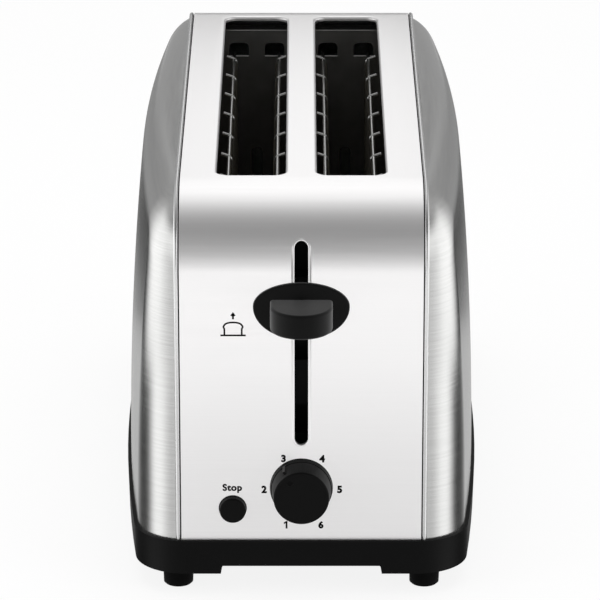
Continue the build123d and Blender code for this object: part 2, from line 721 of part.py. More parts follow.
# Lift carriage: folded sheet on the two rods, with the tongue that carries the lever
with BuildPart() as lift_carriage:
    with BuildSketch(facing(CARRIAGE_Y + CARRIAGE_WALL)):
        with Locations((0, (CARRIAGE_BOTTOM + CARRIAGE_TOP) / 2)):
            RectangleRounded(2 * CARRIAGE_HALF_WIDTH, CARRIAGE_TOP - CARRIAGE_BOTTOM, 1)
            RectangleRounded(WINDOW_WIDTH, WINDOW_HEIGHT, 4, mode=Mode.SUBTRACT)
    extrude(amount=CARRIAGE_WALL)
    for flange_z, flange_half_width in (
        (CARRIAGE_BOTTOM, LOWER_FLANGE_HALF_WIDTH),
        (CARRIAGE_TOP - CARRIAGE_WALL, CARRIAGE_HALF_WIDTH - 1),
    ):
        with BuildSketch(level(flange_z)):
            with Locations((0, CARRIAGE_Y + CARRIAGE_FLANGE / 2)):
                Rectangle(2 * flange_half_width, CARRIAGE_FLANGE)
            with Locations(*ROD_PLACES):
                Circle(ROD_RADIUS + RUNNING_GAP, mode=Mode.SUBTRACT)
        extrude(amount=CARRIAGE_WALL)
    with BuildSketch(facing(CARRIAGE_Y + CARRIAGE_WALL)):
        with Locations((0, LEVER_Z)):
            Rectangle(TONGUE_WIDTH, TONGUE_HEIGHT)
    extrude(amount=CARRIAGE_Y + CARRIAGE_WALL - TONGUE_END)

# Armature plate under the carriage, which the electromagnet holds
with BuildPart() as armature:
    with BuildSketch(level(CARRIAGE_BOTTOM)):
        with Locations((0, ROD_Y)):
            RectangleRounded(ARMATURE_WIDTH, ARMATURE_DEPTH, 1)
    extrude(amount=-ARMATURE)

# Lever: oval plate against the front, D-shaped grip, and a socket for the tongue
with BuildPart() as lever_plate:
    with BuildSketch(facing(FRONT - PLATE_GAP)):
        with BuildLine():
            EllipticalCenterArc((0, PLATE_TIP_Z), PLATE_HALF_WIDTH, PLATE_RISE, arc_size=180)
            EllipticalCenterArc((0, PLATE_TIP_Z), PLATE_HALF_WIDTH, PLATE_DROP, 180, arc_size=180)
        make_face()
    extrude(amount=PLATE_THICKNESS)
    fillet(lever_plate.faces().sort_by(Axis.Y)[0].edges(), PLATE_EDGE)

with BuildPart() as lever_grip:
    grip_back = FRONT - PLATE_GAP - PLATE_THICKNESS / 2
    grip_corner = FRONT - LEVER_REACH + GRIP_WIDTH / 2
    with BuildSketch(level(GRIP_TOP - GRIP_HEIGHT)):
        with BuildLine():
            back = Line((GRIP_WIDTH / 2, grip_back), (-GRIP_WIDTH / 2, grip_back))
            left = Line(back @ 1, (-GRIP_WIDTH / 2, grip_corner))
            nose = ThreePointArc(left @ 1, (0, FRONT - LEVER_REACH), (GRIP_WIDTH / 2, grip_corner))
            Line(nose @ 1, back @ 0)
        make_face()
    extrude(amount=GRIP_HEIGHT)
    by_height = lever_grip.faces().sort_by(Axis.Z)
    rims = by_height[-1].edges() + by_height[0].edges()
    fillet(rims.sort_by(Axis.Y)[:-2], GRIP_EDGE)

with BuildPart() as lever_handle:
    add(lever_plate.part)
    add(lever_grip.part)
    with BuildSketch(facing(FRONT)):
        with Locations((0, LEVER_Z)):
            Rectangle(TONGUE_WIDTH, TONGUE_HEIGHT)
    extrude(amount=FRONT - TONGUE_END, mode=Mode.SUBTRACT)

save(lift_carriage.part, "lift_carriage")
save(armature.part, "armature")
save(lever_handle.part, "lever_handle")

# Guide rods, standing in the base and held by the front end plate's folded top
with BuildPart() as guide_rods:
    with BuildSketch(level(FLOOR_TOP)):
        with Locations(*ROD_PLACES):
            Circle(ROD_RADIUS)
    extrude(amount=GANTRY_BOTTOM + 2 * SHEET - FLOOR_TOP)

save(guide_rods.part, "guide_rods")

# Lift springs between the carriage and the folded top, close wound, so each one is a sleeve
with BuildPart() as right_lift_spring:
    with BuildSketch(level(CARRIAGE_TOP)):
        with Locations((SPRING_X, ROD_Y)):
            Circle(SPRING_RADIUS + SPRING_WIRE)
            Circle(SPRING_RADIUS - SPRING_WIRE, mode=Mode.SUBTRACT)
    extrude(amount=GANTRY_BOTTOM - CARRIAGE_TOP)

with BuildPart() as left_lift_spring:
    mirror(right_lift_spring.part, about=Plane.YZ)

save(right_lift_spring.part, "right_lift_spring")
save(left_lift_spring.part, "left_lift_spring")

# Electromagnet under the carriage: iron core on a foot, with its coil
MAGNET_TOP = CARRIAGE_BOTTOM - ARMATURE - LEVER_DOWN - MAGNET_GAP

with BuildPart() as magnet_core:
    with BuildSketch(level(FLOOR_TOP)):
        with Locations((0, ROD_Y)):
            RectangleRounded(MAGNET_FOOT, MAGNET_FOOT, 1)
    extrude(amount=MAGNET_FOOT_HEIGHT)
    with BuildSketch(level(FLOOR_TOP)):
        with Locations((0, ROD_Y)):
            Circle(CORE_RADIUS)
    extrude(amount=MAGNET_TOP - FLOOR_TOP)

with BuildPart() as magnet_coil:
    coil_bottom = FLOOR_TOP + MAGNET_FOOT_HEIGHT
    coil_top = MAGNET_TOP - SHEET
    with BuildSketch(level(coil_bottom)):
        with Locations((0, ROD_Y)):
            Circle(COIL_RADIUS)
            Circle(CORE_RADIUS, mode=Mode.SUBTRACT)
    extrude(amount=coil_top - coil_bottom)

save(magnet_core.part, "magnet_core")
save(magnet_coil.part, "magnet_coil")

# Control bracket: plate behind the front with the tube that guides the stop button
with BuildPart() as control_bracket:
    with BuildSketch(facing(FRONT + BAND_WALL + BRACKET_WALL)):
        with Locations((0, (BODY_BOTTOM + LIP_HEIGHT + BRACKET_TOP) / 2)):
            RectangleRounded(2 * BRACKET_HALF_WIDTH, BRACKET_TOP - BODY_BOTTOM - LIP_HEIGHT, 2)
    extrude(amount=BRACKET_WALL)
    with BuildSketch(facing(TUBE_END)):
        with Locations((BUTTON_X, BUTTON_Z)):
            Circle(BUTTON_RADIUS + RUNNING_GAP + TUBE_WALL)
    extrude(amount=TUBE_END - FRONT - BAND_WALL)
    with BuildSketch(facing(TUBE_END)):
        with Locations((BUTTON_X, BUTTON_Z)):
            Circle(BUTTON_RADIUS + RUNNING_GAP)
        with Locations((0, KNOB_Z)):
            Circle(BUSH_RADIUS + 0.2)
    extrude(amount=TUBE_END - FRONT, mode=Mode.SUBTRACT)

with BuildPart() as circuit_board:
    with BuildSketch(facing(BOARD_Y + BOARD_WALL)):
        with Locations((0, (FLOOR_TOP + BOARD_TOP) / 2)):
            Rectangle(2 * BOARD_HALF_WIDTH, BOARD_TOP - FLOOR_TOP)
    extrude(amount=BOARD_WALL)

# Potentiometer: can on the board, bush towards the front, and the shaft that turns in it
with BuildPart() as potentiometer:
    with BuildSketch(facing(BOARD_Y)):
        with Locations((0, KNOB_Z)):
            Circle(POT_RADIUS)
    extrude(amount=POT_DEPTH)
    with BuildSketch(facing(BOARD_Y)):
        with Locations((0, KNOB_Z)):
            Circle(BUSH_RADIUS)
    extrude(amount=BOARD_Y - FRONT - BAND_WALL - BRACKET_WALL)
    with BuildSketch(facing(SHAFT_END)):
        with Locations((0, KNOB_Z)):
            Circle(SHAFT_RADIUS + RUNNING_GAP)
    extrude(amount=SHAFT_END - FRONT, mode=Mode.SUBTRACT)

with BuildPart() as knob_shaft:
    with BuildSketch(facing(SHAFT_END)):
        with Locations((0, KNOB_Z)):
            Circle(SHAFT_RADIUS)
    extrude(amount=SHAFT_END - SHAFT_TIP)

save(control_bracket.part, "control_bracket")
save(circuit_board.part, "circuit_board")
save(potentiometer.part, "potentiometer")
save(knob_shaft.part, "knob_shaft")

# Browning knob: skirt, tapered body and flat cap, with a dimple and a ridge that point at the number
with BuildPart() as browning_knob:
    knob_axis = Axis((0, 0, KNOB_Z), (0, 1, 0))
    skirt_back = FRONT - KNOB_GAP
    skirt_front = skirt_back - SKIRT_HEIGHT
    cap_front = skirt_back - KNOB_HEIGHT
    with BuildSketch(level(KNOB_Z)) as knob_section:
        with BuildLine():
            Polyline(
                (SHAFT_RADIUS, skirt_back),
                (SKIRT_RADIUS, skirt_back),
                (SKIRT_RADIUS - SKIRT_TAPER, skirt_front),
                (KNOB_RADIUS, skirt_front),
                (CAP_RADIUS, cap_front),
                (0, cap_front),
                (0, SHAFT_TIP),
                (SHAFT_RADIUS, SHAFT_TIP),
                close=True,
            )
        make_face()
        fillet(knob_section.vertices().sort_by_distance((CAP_RADIUS, cap_front))[0], KNOB_EDGE)
    revolve(axis=knob_axis)
    pointer = Plane(origin=(0, 0, KNOB_Z), x_dir=(1, 0, 0), z_dir=(0, -1, 0)).rotated((0, POINTER_ANGLE, 0))
    with BuildSketch(Plane(origin=(0, cap_front, KNOB_Z), x_dir=pointer.x_dir, z_dir=(0, -1, 0))):
        with Locations((0, DIMPLE_OUT)):
            Circle(DIMPLE_RADIUS)
    extrude(amount=-DIMPLE_DEPTH, mode=Mode.SUBTRACT)
    with BuildSketch(Plane(origin=(0, skirt_front, KNOB_Z), x_dir=pointer.x_dir, z_dir=(0, -1, 0))):
        with Locations((0, KNOB_RADIUS - RIDGE / 2)):
            Rectangle(RIDGE, 2 * RIDGE)
    extrude(amount=RIDGE_LENGTH)

# Stop button: round cap, collar behind the tube, and the stem that meets the switch
with BuildPart() as stop_button:
    button_axis = Axis((BUTTON_X, 0, BUTTON_Z), (0, 1, 0))
    with BuildSketch(level(BUTTON_Z)) as button_section:
        with BuildLine():
            Polyline(
                (BUTTON_X, FRONT - BUTTON_REACH),
                (BUTTON_X + BUTTON_RADIUS, FRONT - BUTTON_REACH),
                (BUTTON_X + BUTTON_RADIUS, TUBE_END),
                (BUTTON_X + COLLAR_RADIUS, TUBE_END),
                (BUTTON_X + COLLAR_RADIUS, TUBE_END + COLLAR),
                (BUTTON_X + STEM_RADIUS, TUBE_END + COLLAR),
                (BUTTON_X + STEM_RADIUS, STEM_END),
                (BUTTON_X, STEM_END),
                close=True,
            )
        make_face()
        cap_corner = button_section.vertices().group_by(Axis.Y)[0].sort_by(Axis.X)[-1]
        fillet(cap_corner, KNOB_EDGE)
    revolve(axis=button_axis)

with BuildPart() as stop_switch:
    with BuildSketch(facing(BOARD_Y)):
        with Locations((BUTTON_X, BUTTON_Z)):
            RectangleRounded(SWITCH_SIZE, SWITCH_SIZE, 1)
    extrude(amount=SWITCH_DEPTH)
    with BuildSketch(facing(BOARD_Y - SWITCH_DEPTH)):
        with Locations((BUTTON_X, BUTTON_Z)):
            Circle(PLUNGER_RADIUS)
    extrude(amount=BOARD_Y - SWITCH_DEPTH - STEM_END - BUTTON_TRAVEL - SWITCH_GAP)

save(browning_knob.part, "browning_knob")
save(stop_button.part, "stop_button")
save(stop_switch.part, "stop_switch")

# Crumb tray: shallow pan on the floor, with a moulded pull outside the rear wall
PULL_FRONT = REAR + BASE_LEDGE + PULL_GAP

with BuildPart() as crumb_tray:
    with BuildSketch(level(FLOOR_TOP)):
        with Locations((0, (TRAY_START + PULL_FRONT) / 2)):
            Rectangle(2 * TRAY_HALF_WIDTH, PULL_FRONT - TRAY_START)
    extrude(amount=TRAY_HEIGHT)
    offset(amount=-TRAY_WALL, openings=crumb_tray.faces().sort_by(Axis.Z)[-1])

with BuildPart() as tray_pull:
    with BuildSketch(beside(-PULL_HALF_WIDTH)):
        with BuildLine():
            heel = Line((PULL_FRONT, PULL_BOTTOM), (PULL_FRONT, PULL_TOP))
            lip = Line(heel @ 1, (PULL_FRONT + PULL_THICKNESS, PULL_TOP))
            down = Line(lip @ 1, (PULL_FRONT + PULL_THICKNESS, PULL_BOTTOM + 2 * PULL_THICKNESS))
            scoop = RadiusArc(down @ 1, (REAR + REAR_REACH, PULL_BOTTOM + PULL_THICKNESS), -PULL_SCOOP)
            tip = Line(scoop @ 1, (REAR + REAR_REACH, PULL_BOTTOM))
            Line(tip @ 1, heel @ 0)
        make_face()
    extrude(amount=2 * PULL_HALF_WIDTH)
    fillet(tray_pull.edges().filter_by(Axis.Z).group_by(Axis.Y)[-1], 1)

save(crumb_tray.part, "crumb_tray")
save(tray_pull.part, "tray_pull")

# Gland of the mains lead, held in the notch of the base by the edge of the shell above
with BuildPart() as lead_gland:
    gland_z = (FLOOR_TOP + BODY_BOTTOM) / 2
    with BuildSketch(facing(REAR + BASE_LEDGE + 1 - GLAND_DEPTH)):
        with Locations((GLAND_X, gland_z)):
            Rectangle(GLAND_WIDTH, BODY_BOTTOM - FLOOR_TOP)
            Circle(GLAND_BORE, mode=Mode.SUBTRACT)
    extrude(amount=-(GLAND_DEPTH - BASE_LEDGE - 1 + GLAND_REACH))
    outer_end = lead_gland.faces().sort_by(Axis.Y)[-1]
    fillet(outer_end.outer_wire().edges(), 1)

save(lead_gland.part, "lead_gland")
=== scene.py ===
# %% [markdown]
# # A long-slot pop-up toaster
#
# The real toaster is mostly sheet steel: one bright band is bent over the front, the top and the rear,
# and a duller pressed shell closes each side. Black moulded plastic carries it and makes everything that
# a hand touches. This lesson dresses the measured model piece by piece. First the model comes in and
# tells where everything is.

# %% Load the measured model
import json
from math import acos, asin, cos, pi, radians, sin, sqrt

import bmesh
import bpy
from mathutils import Matrix, Vector


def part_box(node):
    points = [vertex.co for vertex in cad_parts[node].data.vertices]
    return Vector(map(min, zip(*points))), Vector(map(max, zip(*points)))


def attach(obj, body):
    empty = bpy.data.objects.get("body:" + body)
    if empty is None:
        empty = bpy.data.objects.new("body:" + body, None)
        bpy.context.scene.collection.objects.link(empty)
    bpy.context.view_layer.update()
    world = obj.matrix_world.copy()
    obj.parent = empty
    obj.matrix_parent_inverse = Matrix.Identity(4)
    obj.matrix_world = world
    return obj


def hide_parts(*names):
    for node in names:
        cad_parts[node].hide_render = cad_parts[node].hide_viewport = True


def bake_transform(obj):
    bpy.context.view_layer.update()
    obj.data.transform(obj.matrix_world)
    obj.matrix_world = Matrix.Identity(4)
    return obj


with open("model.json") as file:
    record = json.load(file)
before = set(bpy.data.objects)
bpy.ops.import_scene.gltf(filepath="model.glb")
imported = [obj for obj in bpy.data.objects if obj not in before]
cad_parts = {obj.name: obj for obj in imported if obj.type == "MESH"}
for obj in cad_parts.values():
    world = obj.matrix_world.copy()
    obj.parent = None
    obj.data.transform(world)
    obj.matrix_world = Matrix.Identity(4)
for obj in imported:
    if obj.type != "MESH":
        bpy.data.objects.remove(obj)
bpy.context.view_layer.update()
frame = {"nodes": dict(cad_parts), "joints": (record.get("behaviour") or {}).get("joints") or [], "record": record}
scene = bpy.context.scene
MM = 0.001
SIDES = ((-1, "left"), (1, "right"))

band_low, band_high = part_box("centre_band")
FRONT = band_low.y
REAR = band_high.y
BOTTOM = band_low.z
TOP = band_high.z
BODY_MID = (FRONT + REAR) / 2
print("body from", round(FRONT, 4), "to", round(REAR, 4), "top at", round(TOP, 4))

# %% [markdown]
# ## Small helpers
#
# Colours are written as the hex values that a screen shows, and one function turns them into the linear
# values that a renderer works with. Another adds a node with its settings and links, so that a node tree
# reads as a list of what it does. The others make an object whose place is in its mesh, apply its
# modifiers, and give it its finish and the body that carries it.

# %% Helpers for colours and nodes


def linear(code):
    """Linear RGBA of an sRGB hex colour such as "C8C8C8"."""
    levels = [int(code[i : i + 2], 16) / 255 for i in (0, 2, 4)]
    return [v / 12.92 if v <= 0.04045 else ((v + 0.055) / 1.055) ** 2.4 for v in levels] + [1]


def add_node(tree, kind, inputs=None, **settings):
    """One node with its settings. An input is a value, an output, or a node that gives its first output."""
    node = tree.nodes.new(kind)
    for name, value in settings.items():
        setattr(node, name, value)
    for name, value in (inputs or {}).items():
        if isinstance(value, bpy.types.Node):
            value = value.outputs[0]
        if isinstance(value, bpy.types.NodeSocket):
            tree.links.new(value, node.inputs[name])
        else:
            node.inputs[name].default_value = value
    return node


def start_material(name, **sockets):
    """A material with one Principled shader, whose fixed values are set on its own sockets."""
    material = bpy.data.materials.new(name)
    material.use_nodes = True
    shader = material.node_tree.nodes["Principled BSDF"]
    for socket, value in sockets.items():
        shader.inputs[socket.replace("_", " ")].default_value = value
    return material, material.node_tree, shader


print("middle grey in linear light:", round(linear("808080")[0], 3))

# %% Helpers for pieces
MERGE = 1e-6
SMOOTH_BELOW = 35


def link_object(name, data):
    """Object at the origin, unturned and unscaled."""
    thing = bpy.data.objects.new(name, data)
    scene.collection.objects.link(thing)
    return thing


def smooth(mesh, sharp_angle):
    """Shades a mesh smooth, except across edges sharper than the angle in degrees."""
    mesh.shade_smooth()
    mesh.set_sharp_from_angle(angle=radians(sharp_angle))


def object_from_bmesh(bm, name, sharp_angle=SMOOTH_BELOW):
    """Object whose mesh is the bmesh, which ends here."""
    mesh = bpy.data.meshes.new(name)
    bm.to_mesh(mesh)
    bm.free()
    smooth(mesh, sharp_angle)
    return link_object(name, mesh)


def skin(bm, rows, closed):
    """Faces between neighbouring rows of points. A closed row goes round, an open one has two ends."""
    for here, there in zip(rows, rows[1:]):
        for i in range(0 if closed else 1, len(here)):
            bm.faces.new((here[i - 1], here[i], there[i], there[i - 1]))


def add_modifier(piece, name, kind, **settings):
    """One modifier with its settings."""
    modifier = piece.modifiers.new(name, kind)
    for setting, value in settings.items():
        setattr(modifier, setting, value)
    return modifier


def settle(piece, sharp_angle=SMOOTH_BELOW):
    """Makes what the modifiers give the piece's own mesh."""
    evaluated = piece.evaluated_get(bpy.context.evaluated_depsgraph_get())
    piece.data = bpy.data.meshes.new_from_object(evaluated)
    piece.modifiers.clear()
    smooth(piece.data, sharp_angle)


def finish_piece(piece, material, slot, body, *nodes):
    """Gives a piece its finish, the body that carries it and the nodes that it stands for."""
    piece.data.materials.clear()
    piece.data.materials.append(material)
    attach(piece, body)
    if nodes:
        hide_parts(*nodes)
    return piece


print("points closer than", MERGE / MM, "mm are merged")

# %% [markdown]
# ## Steel
#
# The band, the shells and the trims are stainless steel. Brushing leaves fine scratches in one direction,
# which spread reflections across them, so a brushed sheet looks satin. A picture of scratches would show
# its seams on bent sheet, so they are a noise that is stretched along the brushing. They are finer than a
# pixel, so they are drawn a little coarser than they are. They disturb the roughness, a weak bump and, by
# a little, the brightness.

# %% Brushed and polished stainless steel
RELIEF = 0.05 * MM
ROUGHNESS_SPREAD = 0.25
DARK_BELOW = 0.3
LIGHT_ABOVE = 0.7


def scratches(tree, grain_mm):
    """Noise with a grain of its own size along X, Y and Z: long in the direction of the brushing."""
    coordinates = add_node(tree, "ShaderNodeTexCoord")
    scale = [1 / (size * MM) for size in grain_mm]
    stretched = add_node(
        tree, "ShaderNodeMapping", {"Vector": coordinates.outputs["Object"], "Scale": scale}
    )
    return add_node(tree, "ShaderNodeTexNoise", {"Vector": stretched, "Scale": 1.0, "Detail": 3.0})


def brushed_steel(name, dark, light, roughness, grain_mm, bump):
    """Stainless steel whose scratches go from dark to light and vary its roughness and relief."""
    material, tree, shader = start_material(name, Metallic=1.0)
    noise = scratches(tree, grain_mm)
    contrast = add_node(
        tree, "ShaderNodeMapRange", {"Value": noise, "From Min": DARK_BELOW, "From Max": LIGHT_ABOVE}
    )
    colours = {"Factor": contrast, "A": linear(dark), "B": linear(light)}
    tint = add_node(tree, "ShaderNodeMix", colours, data_type="RGBA")
    least = roughness * (1 - ROUGHNESS_SPREAD)
    most = roughness * (1 + ROUGHNESS_SPREAD)
    spread = add_node(tree, "ShaderNodeMapRange", {"Value": noise, "To Min": least, "To Max": most})
    relief = add_node(tree, "ShaderNodeBump", {"Height": noise, "Strength": bump, "Distance": RELIEF})
    tree.links.new(tint.outputs["Result"], shader.inputs["Base Color"])
    tree.links.new(spread.outputs[0], shader.inputs["Roughness"])
    tree.links.new(relief.outputs[0], shader.inputs["Normal"])
    return material


# Bright sheet with a fine brushing across it: wide, soft, pale reflections.
band_steel = brushed_steel(
    "stainless_steel_satin_brushed", "F3F2F2", "F5F4F4", 0.36, grain_mm=(60, 0.35, 0.35), bump=0.08
)
# Greyer sheet with a coarser brushing: clearer streaks, crossed by faint lines.
shell_steel = brushed_steel(
    "stainless_steel_coarse_brushed", "BABAB9", "C2C2C1", 0.22, grain_mm=(30, 30, 0.6), bump=0.16
)
# Polished strip with hardly any scratches: a thin bright line along each seam.
trim_steel = brushed_steel(
    "stainless_steel_polished", "CECECE", "D2D2D2", 0.26, grain_mm=(0.5, 30, 30), bump=0.03
)
print("steels:", band_steel.name, shell_steel.name, trim_steel.name)

# %% [markdown]
# ## Plastic, rubber and the dark inside
#
# The base is black polypropylene with the very fine grain that a spark-eroded mould leaves. Lever, knob
# and button are satin: seen at a flat angle, such a surface scatters light and looks paler, which is its
# sheen. The feet are matt rubber. Inside, the sheets have been darkened by heat, the wires are plated,
# the heater boards are mica and the windings are enamelled copper. The dark sheet, the iron and the
# circuit board are darker than they are: painted shade for the dark inside that the slots show. One
# function makes them all, because each is a colour with a grain of its own at a real size.

# %% A finish with a grain


def grained(name, colour, roughness, grain_mm, bump, metallic=0.0, second=None, **sockets):
    """A material with a fine grain in its relief and, between two colours, in its colour."""
    sockets.update(Base_Color=linear(colour), Metallic=metallic, Roughness=roughness)
    material, tree, shader = start_material(name, **sockets)
    coordinates = add_node(tree, "ShaderNodeTexCoord").outputs["Object"]
    scale = 1 / (grain_mm * MM)
    noise = add_node(tree, "ShaderNodeTexNoise", {"Vector": coordinates, "Scale": scale, "Detail": 2.0})
    relief = add_node(tree, "ShaderNodeBump", {"Height": noise, "Strength": bump, "Distance": RELIEF})
    tree.links.new(relief.outputs[0], shader.inputs["Normal"])
    if second:
        colours = {"Factor": noise, "A": linear(colour), "B": linear(second)}
        tint = add_node(tree, "ShaderNodeMix", colours, data_type="RGBA")
        tree.links.new(tint.outputs["Result"], shader.inputs["Base Color"])
    return material


BLACK = {"Specular_IOR_Level": 0.09}
GRIP_SATIN = {"Sheen_Weight": 0.33, "Sheen_Roughness": 0.42} | BLACK
DIAL_SATIN = {"Sheen_Weight": 0.06, "Sheen_Roughness": 0.42} | BLACK
# Finely moulded: a deep black that is only a little paler at a flat angle.
dial_plastic = grained("abs_fine_satin_moulded", "060606", 0.5, 0.3, 0.06, **DIAL_SATIN)
# Screen-printing ink: a flat black with no gloss of its own. The same black in the knob's dimple is painted shade.
print_ink_and_painted_shade = grained("screen_printing_ink_black", "050505", 0.7, 0.3, 0.05, **BLACK)
# Bright plating: small clear highlights along every wire.
plated_wire = grained("steel_wire_bright_plated", "C4C4C2", 0.25, 2, 0.05, 1.0)
print("finishes of controls, print and wires:", dial_plastic.name, print_ink_and_painted_shade.name, plated_wire.name)

# %% The finish of every slot
SLOT_FINISH = {
    "band_steel": band_steel,
    "shell_steel": shell_steel,
    "trim_steel": trim_steel,
    "wire_steel": plated_wire,
    # Moulded with a spark grain: an even, matt black.
    "black_plastic": grained("polypropylene_fine_spark_grain", "050505", 0.5, 0.5, 0.12, **BLACK),
    # Satin moulded: black, and grey where the eye meets it at a flat angle.
    "satin_plastic": grained("abs_satin_moulded", "050505", 0.5, 0.4, 0.08, **GRIP_SATIN),
    # Matt rubber: it gives back almost no light.
    "foot_rubber": grained("rubber_moulded_matt", "020202", 0.8, 0.8, 0.2, **BLACK),
    # Sheet dulled by heat: grey metal in soft patches.
    "sheet_steel": grained("steel_sheet_heat_darkened", "8C8B89", 0.36, 9, 0.05, 0.9, "7A7977"),
    # Dark sheet with a faint gleam: painted shade, darker than the sheet is, for the dark inside that the slots
    # show.
    "black_steel": grained("steel_sheet_dark_painted_shade", "101010", 0.6, 3, 0.05, 0.3),
    # Split mica: grey-brown, flaky and matt.
    "mica": grained("mica_sheet_split", "6E695E", 0.55, 3, 0.2, 0.0, "837D70"),
    # Oxidised ribbon: dull brown metal.
    "resistance_ribbon": grained("resistance_alloy_oxidised", "6B6660", 0.45, 2, 0.05, 1.0, "57524C"),
    # Iron in nearly black metal: painted shade for the dark inside that the lever slot shows.
    "iron": grained("soft_iron_dark_painted_shade", "161618", 0.6, 2, 0.1, 0.3),
    # Enamelled wire side by side: brown metal with fine ridges.
    "copper": grained("copper_winding_enamelled", "8C4A22", 0.35, 0.5, 0.3, 1.0),
    # Laminate in a dark, uneven green: the green is the board's own, its darkness painted shade for the dark
    # inside that the lever slot shows.
    "circuit_laminate": grained("glass_epoxy_laminate_green_and_painted_shade", "16241A", 0.5, 1.5, 0.1, 0.0, "101C14"),
    # Cast cases of electrical parts: plain dark grey.
    "component_case": grained("moulded_epoxy_case", "2A2A2B", 0.5, 0.8, 0.1),
    # Zinc plating: pale, slightly blue metal.
    "screw_steel": grained("steel_zinc_plated", "B9BABC", 0.3, 1, 0.05, 1.0),
}
node_slot = {piece["node"]: piece["material_slot"] for piece in frame["record"]["subparts"]}
for node, slot in node_slot.items():
    frame["nodes"][node].data.materials.clear()
    frame["nodes"][node].data.materials.append(SLOT_FINISH[slot])
print("finishes on", len(node_slot), "nodes")

# %% [markdown]
# ## The wrap that everything follows
#
# Seen from the side, the body is a rectangle with two large round corners at the top. The band, the trims
# and the rims of the shells all run along this line. A curve object could hold it, but a function gives
# the exact point wherever a piece needs one: it takes the length travelled from the lower front edge and
# gives the place and the outward direction there.

# %% Walk along the side profile
CORNER = 36 * MM
RISE = TOP - CORNER - BOTTOM
BEND = CORNER * pi / 2
RUN = REAR - FRONT - 2 * CORNER
WRAP = 2 * RISE + 2 * BEND + RUN
BEND_STEPS = 24


def on_wrap(travel):
    """Place (y, z) and outward direction on the profile after this travel from the lower front edge."""
    if travel > WRAP / 2:
        y, z, out_y, out_z = on_wrap(WRAP - travel)
        return 2 * BODY_MID - y, z, -out_y, out_z
    if travel <= RISE:
        return FRONT, BOTTOM + travel, -1, 0
    if travel <= RISE + BEND:
        turn = (travel - RISE) / CORNER
        y = FRONT + CORNER - CORNER * cos(turn)
        return y, TOP - CORNER + CORNER * sin(turn), -cos(turn), sin(turn)
    return FRONT + CORNER + travel - RISE - BEND, TOP, 0, 1


def wrap_point(x, travel, depth=0):
    """Point this deep under the wrap."""
    y, z, out_y, out_z = on_wrap(travel)
    return Vector((x, y - depth * out_y, z - depth * out_z))


def travel_at_height(z):
    """Travel to the front's point at this height, also where the front already bends backwards."""
    if z <= TOP - CORNER:
        return z - BOTTOM
    return RISE + CORNER * asin((z - TOP + CORNER) / CORNER)


def top_travel(y):
    """Travel to the point of the flat top at this y."""
    return RISE + BEND + y - FRONT - CORNER


def wrap_stops(rise_steps, run_steps):
    """Travels at which a piece that follows the wrap gets its cross sections."""
    front = [RISE * i / rise_steps for i in range(rise_steps)]
    bend = [RISE + BEND * i / BEND_STEPS for i in range(BEND_STEPS)]
    half = front + bend
    middle = [RISE + BEND + RUN * i / run_steps for i in range(run_steps + 1)]
    return half + middle + [WRAP - travel for travel in reversed(half)]


print("length of the wrap in mm:", round(WRAP / MM, 1))

# %% [markdown]
# ## Centre band
#
# The band is one sheet with its edges turned in around the two bread slots, the lever slot and the
# control holes. Cutting the holes out of a bent sheet would spoil its shading, so it is drawn flat, as
# the sheet was before bending: x across, and the travel along the wrap upwards. The flat outline with its
# holes is filled, cut into strips where it will bend, and then every point is moved onto the wrap. The
# turned edges are rows of points that roll over a quarter circle and go inwards.

# %% Outlines that roll into a hole
HOLE_MARGIN = 0.4 * MM
QUARTER_ROLL = [radians(15 * i) for i in range(7)]


def rounded_outline(low, high, radius, grow, steps=10):
    """Points round a rectangle with round corners, moved outwards by grow."""
    points = []
    corners = ((high[0], high[1], 0), (low[0], high[1], 90), (low[0], low[1], 180), (high[0], low[1], 270))
    size = radius + grow
    for x, y, start in corners:
        centre_x = x - radius if start in (0, 270) else x + radius
        centre_y = y - radius if start in (0, 90) else y + radius
        for i in range(steps + 1):
            angle = radians(start + 90 * i / steps)
            point = Vector((centre_x + size * cos(angle), centre_y + size * sin(angle)))
            if not points or min((point - points[0]).length, (point - points[-1]).length) > MERGE / 10:
                points.append(point)
    return points


def hole_rows(low, high, radius, edge, depth, travel_of, lip=0):
    """Rows of (x, travel, depth) round a hole: a flat margin, the edge rolled over a lip, and the wall."""
    rolls = [(edge * (1 - sin(turn)), edge * (1 - cos(turn)) - lip) for turn in QUARTER_ROLL]
    climb = []
    if lip:
        climb = [(edge + lip * (1 + cos(turn)), -lip * sin(turn)) for turn in QUARTER_ROLL[:-1]]
    rows = []
    for grow, sink in [(edge + 2 * lip + HOLE_MARGIN, 0)] + climb + rolls + [(0, depth)]:
        rows.append([(x, travel_of(y), sink) for x, y in rounded_outline(low, high, radius, grow)])
    return rows


print("points round a small hole:", len(rounded_outline((-1, -1), (1, 1), 1, 0)))

# %% The five holes of the band
SLOT_X = 23.9 * MM
SLOT_HALF = 33 * MM / 2
SLOT_START = FRONT + 38.7 * MM
SLOT_END = FRONT + 313.9 * MM
SLOT_CORNER = 6 * MM
SLOT_EDGE = 1.2 * MM
SLOT_COLLAR = 2.2 * MM
LEVER_SLOT_HALF = 6.3 * MM / 2
LEVER_SLOT_LOW = 77.8 * MM
LEVER_SLOT_HIGH = 179.2 * MM
LEVER_LIP = 0.3 * MM
HOLE_EDGE = 0.6 * MM
HOLE_COLLAR = 1.6 * MM
SHAFT_HOLE = 4 * MM
BUTTON_HOLE = 6.7 * MM
KNOB_Z = next(joint["pos_m"][2] for joint in frame["joints"] if joint["name"] == "knob_turn")
button_low, button_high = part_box("stop_button")
BUTTON_X = (button_low.x + button_high.x) / 2
BUTTON_Z = (button_low.z + button_high.z) / 2

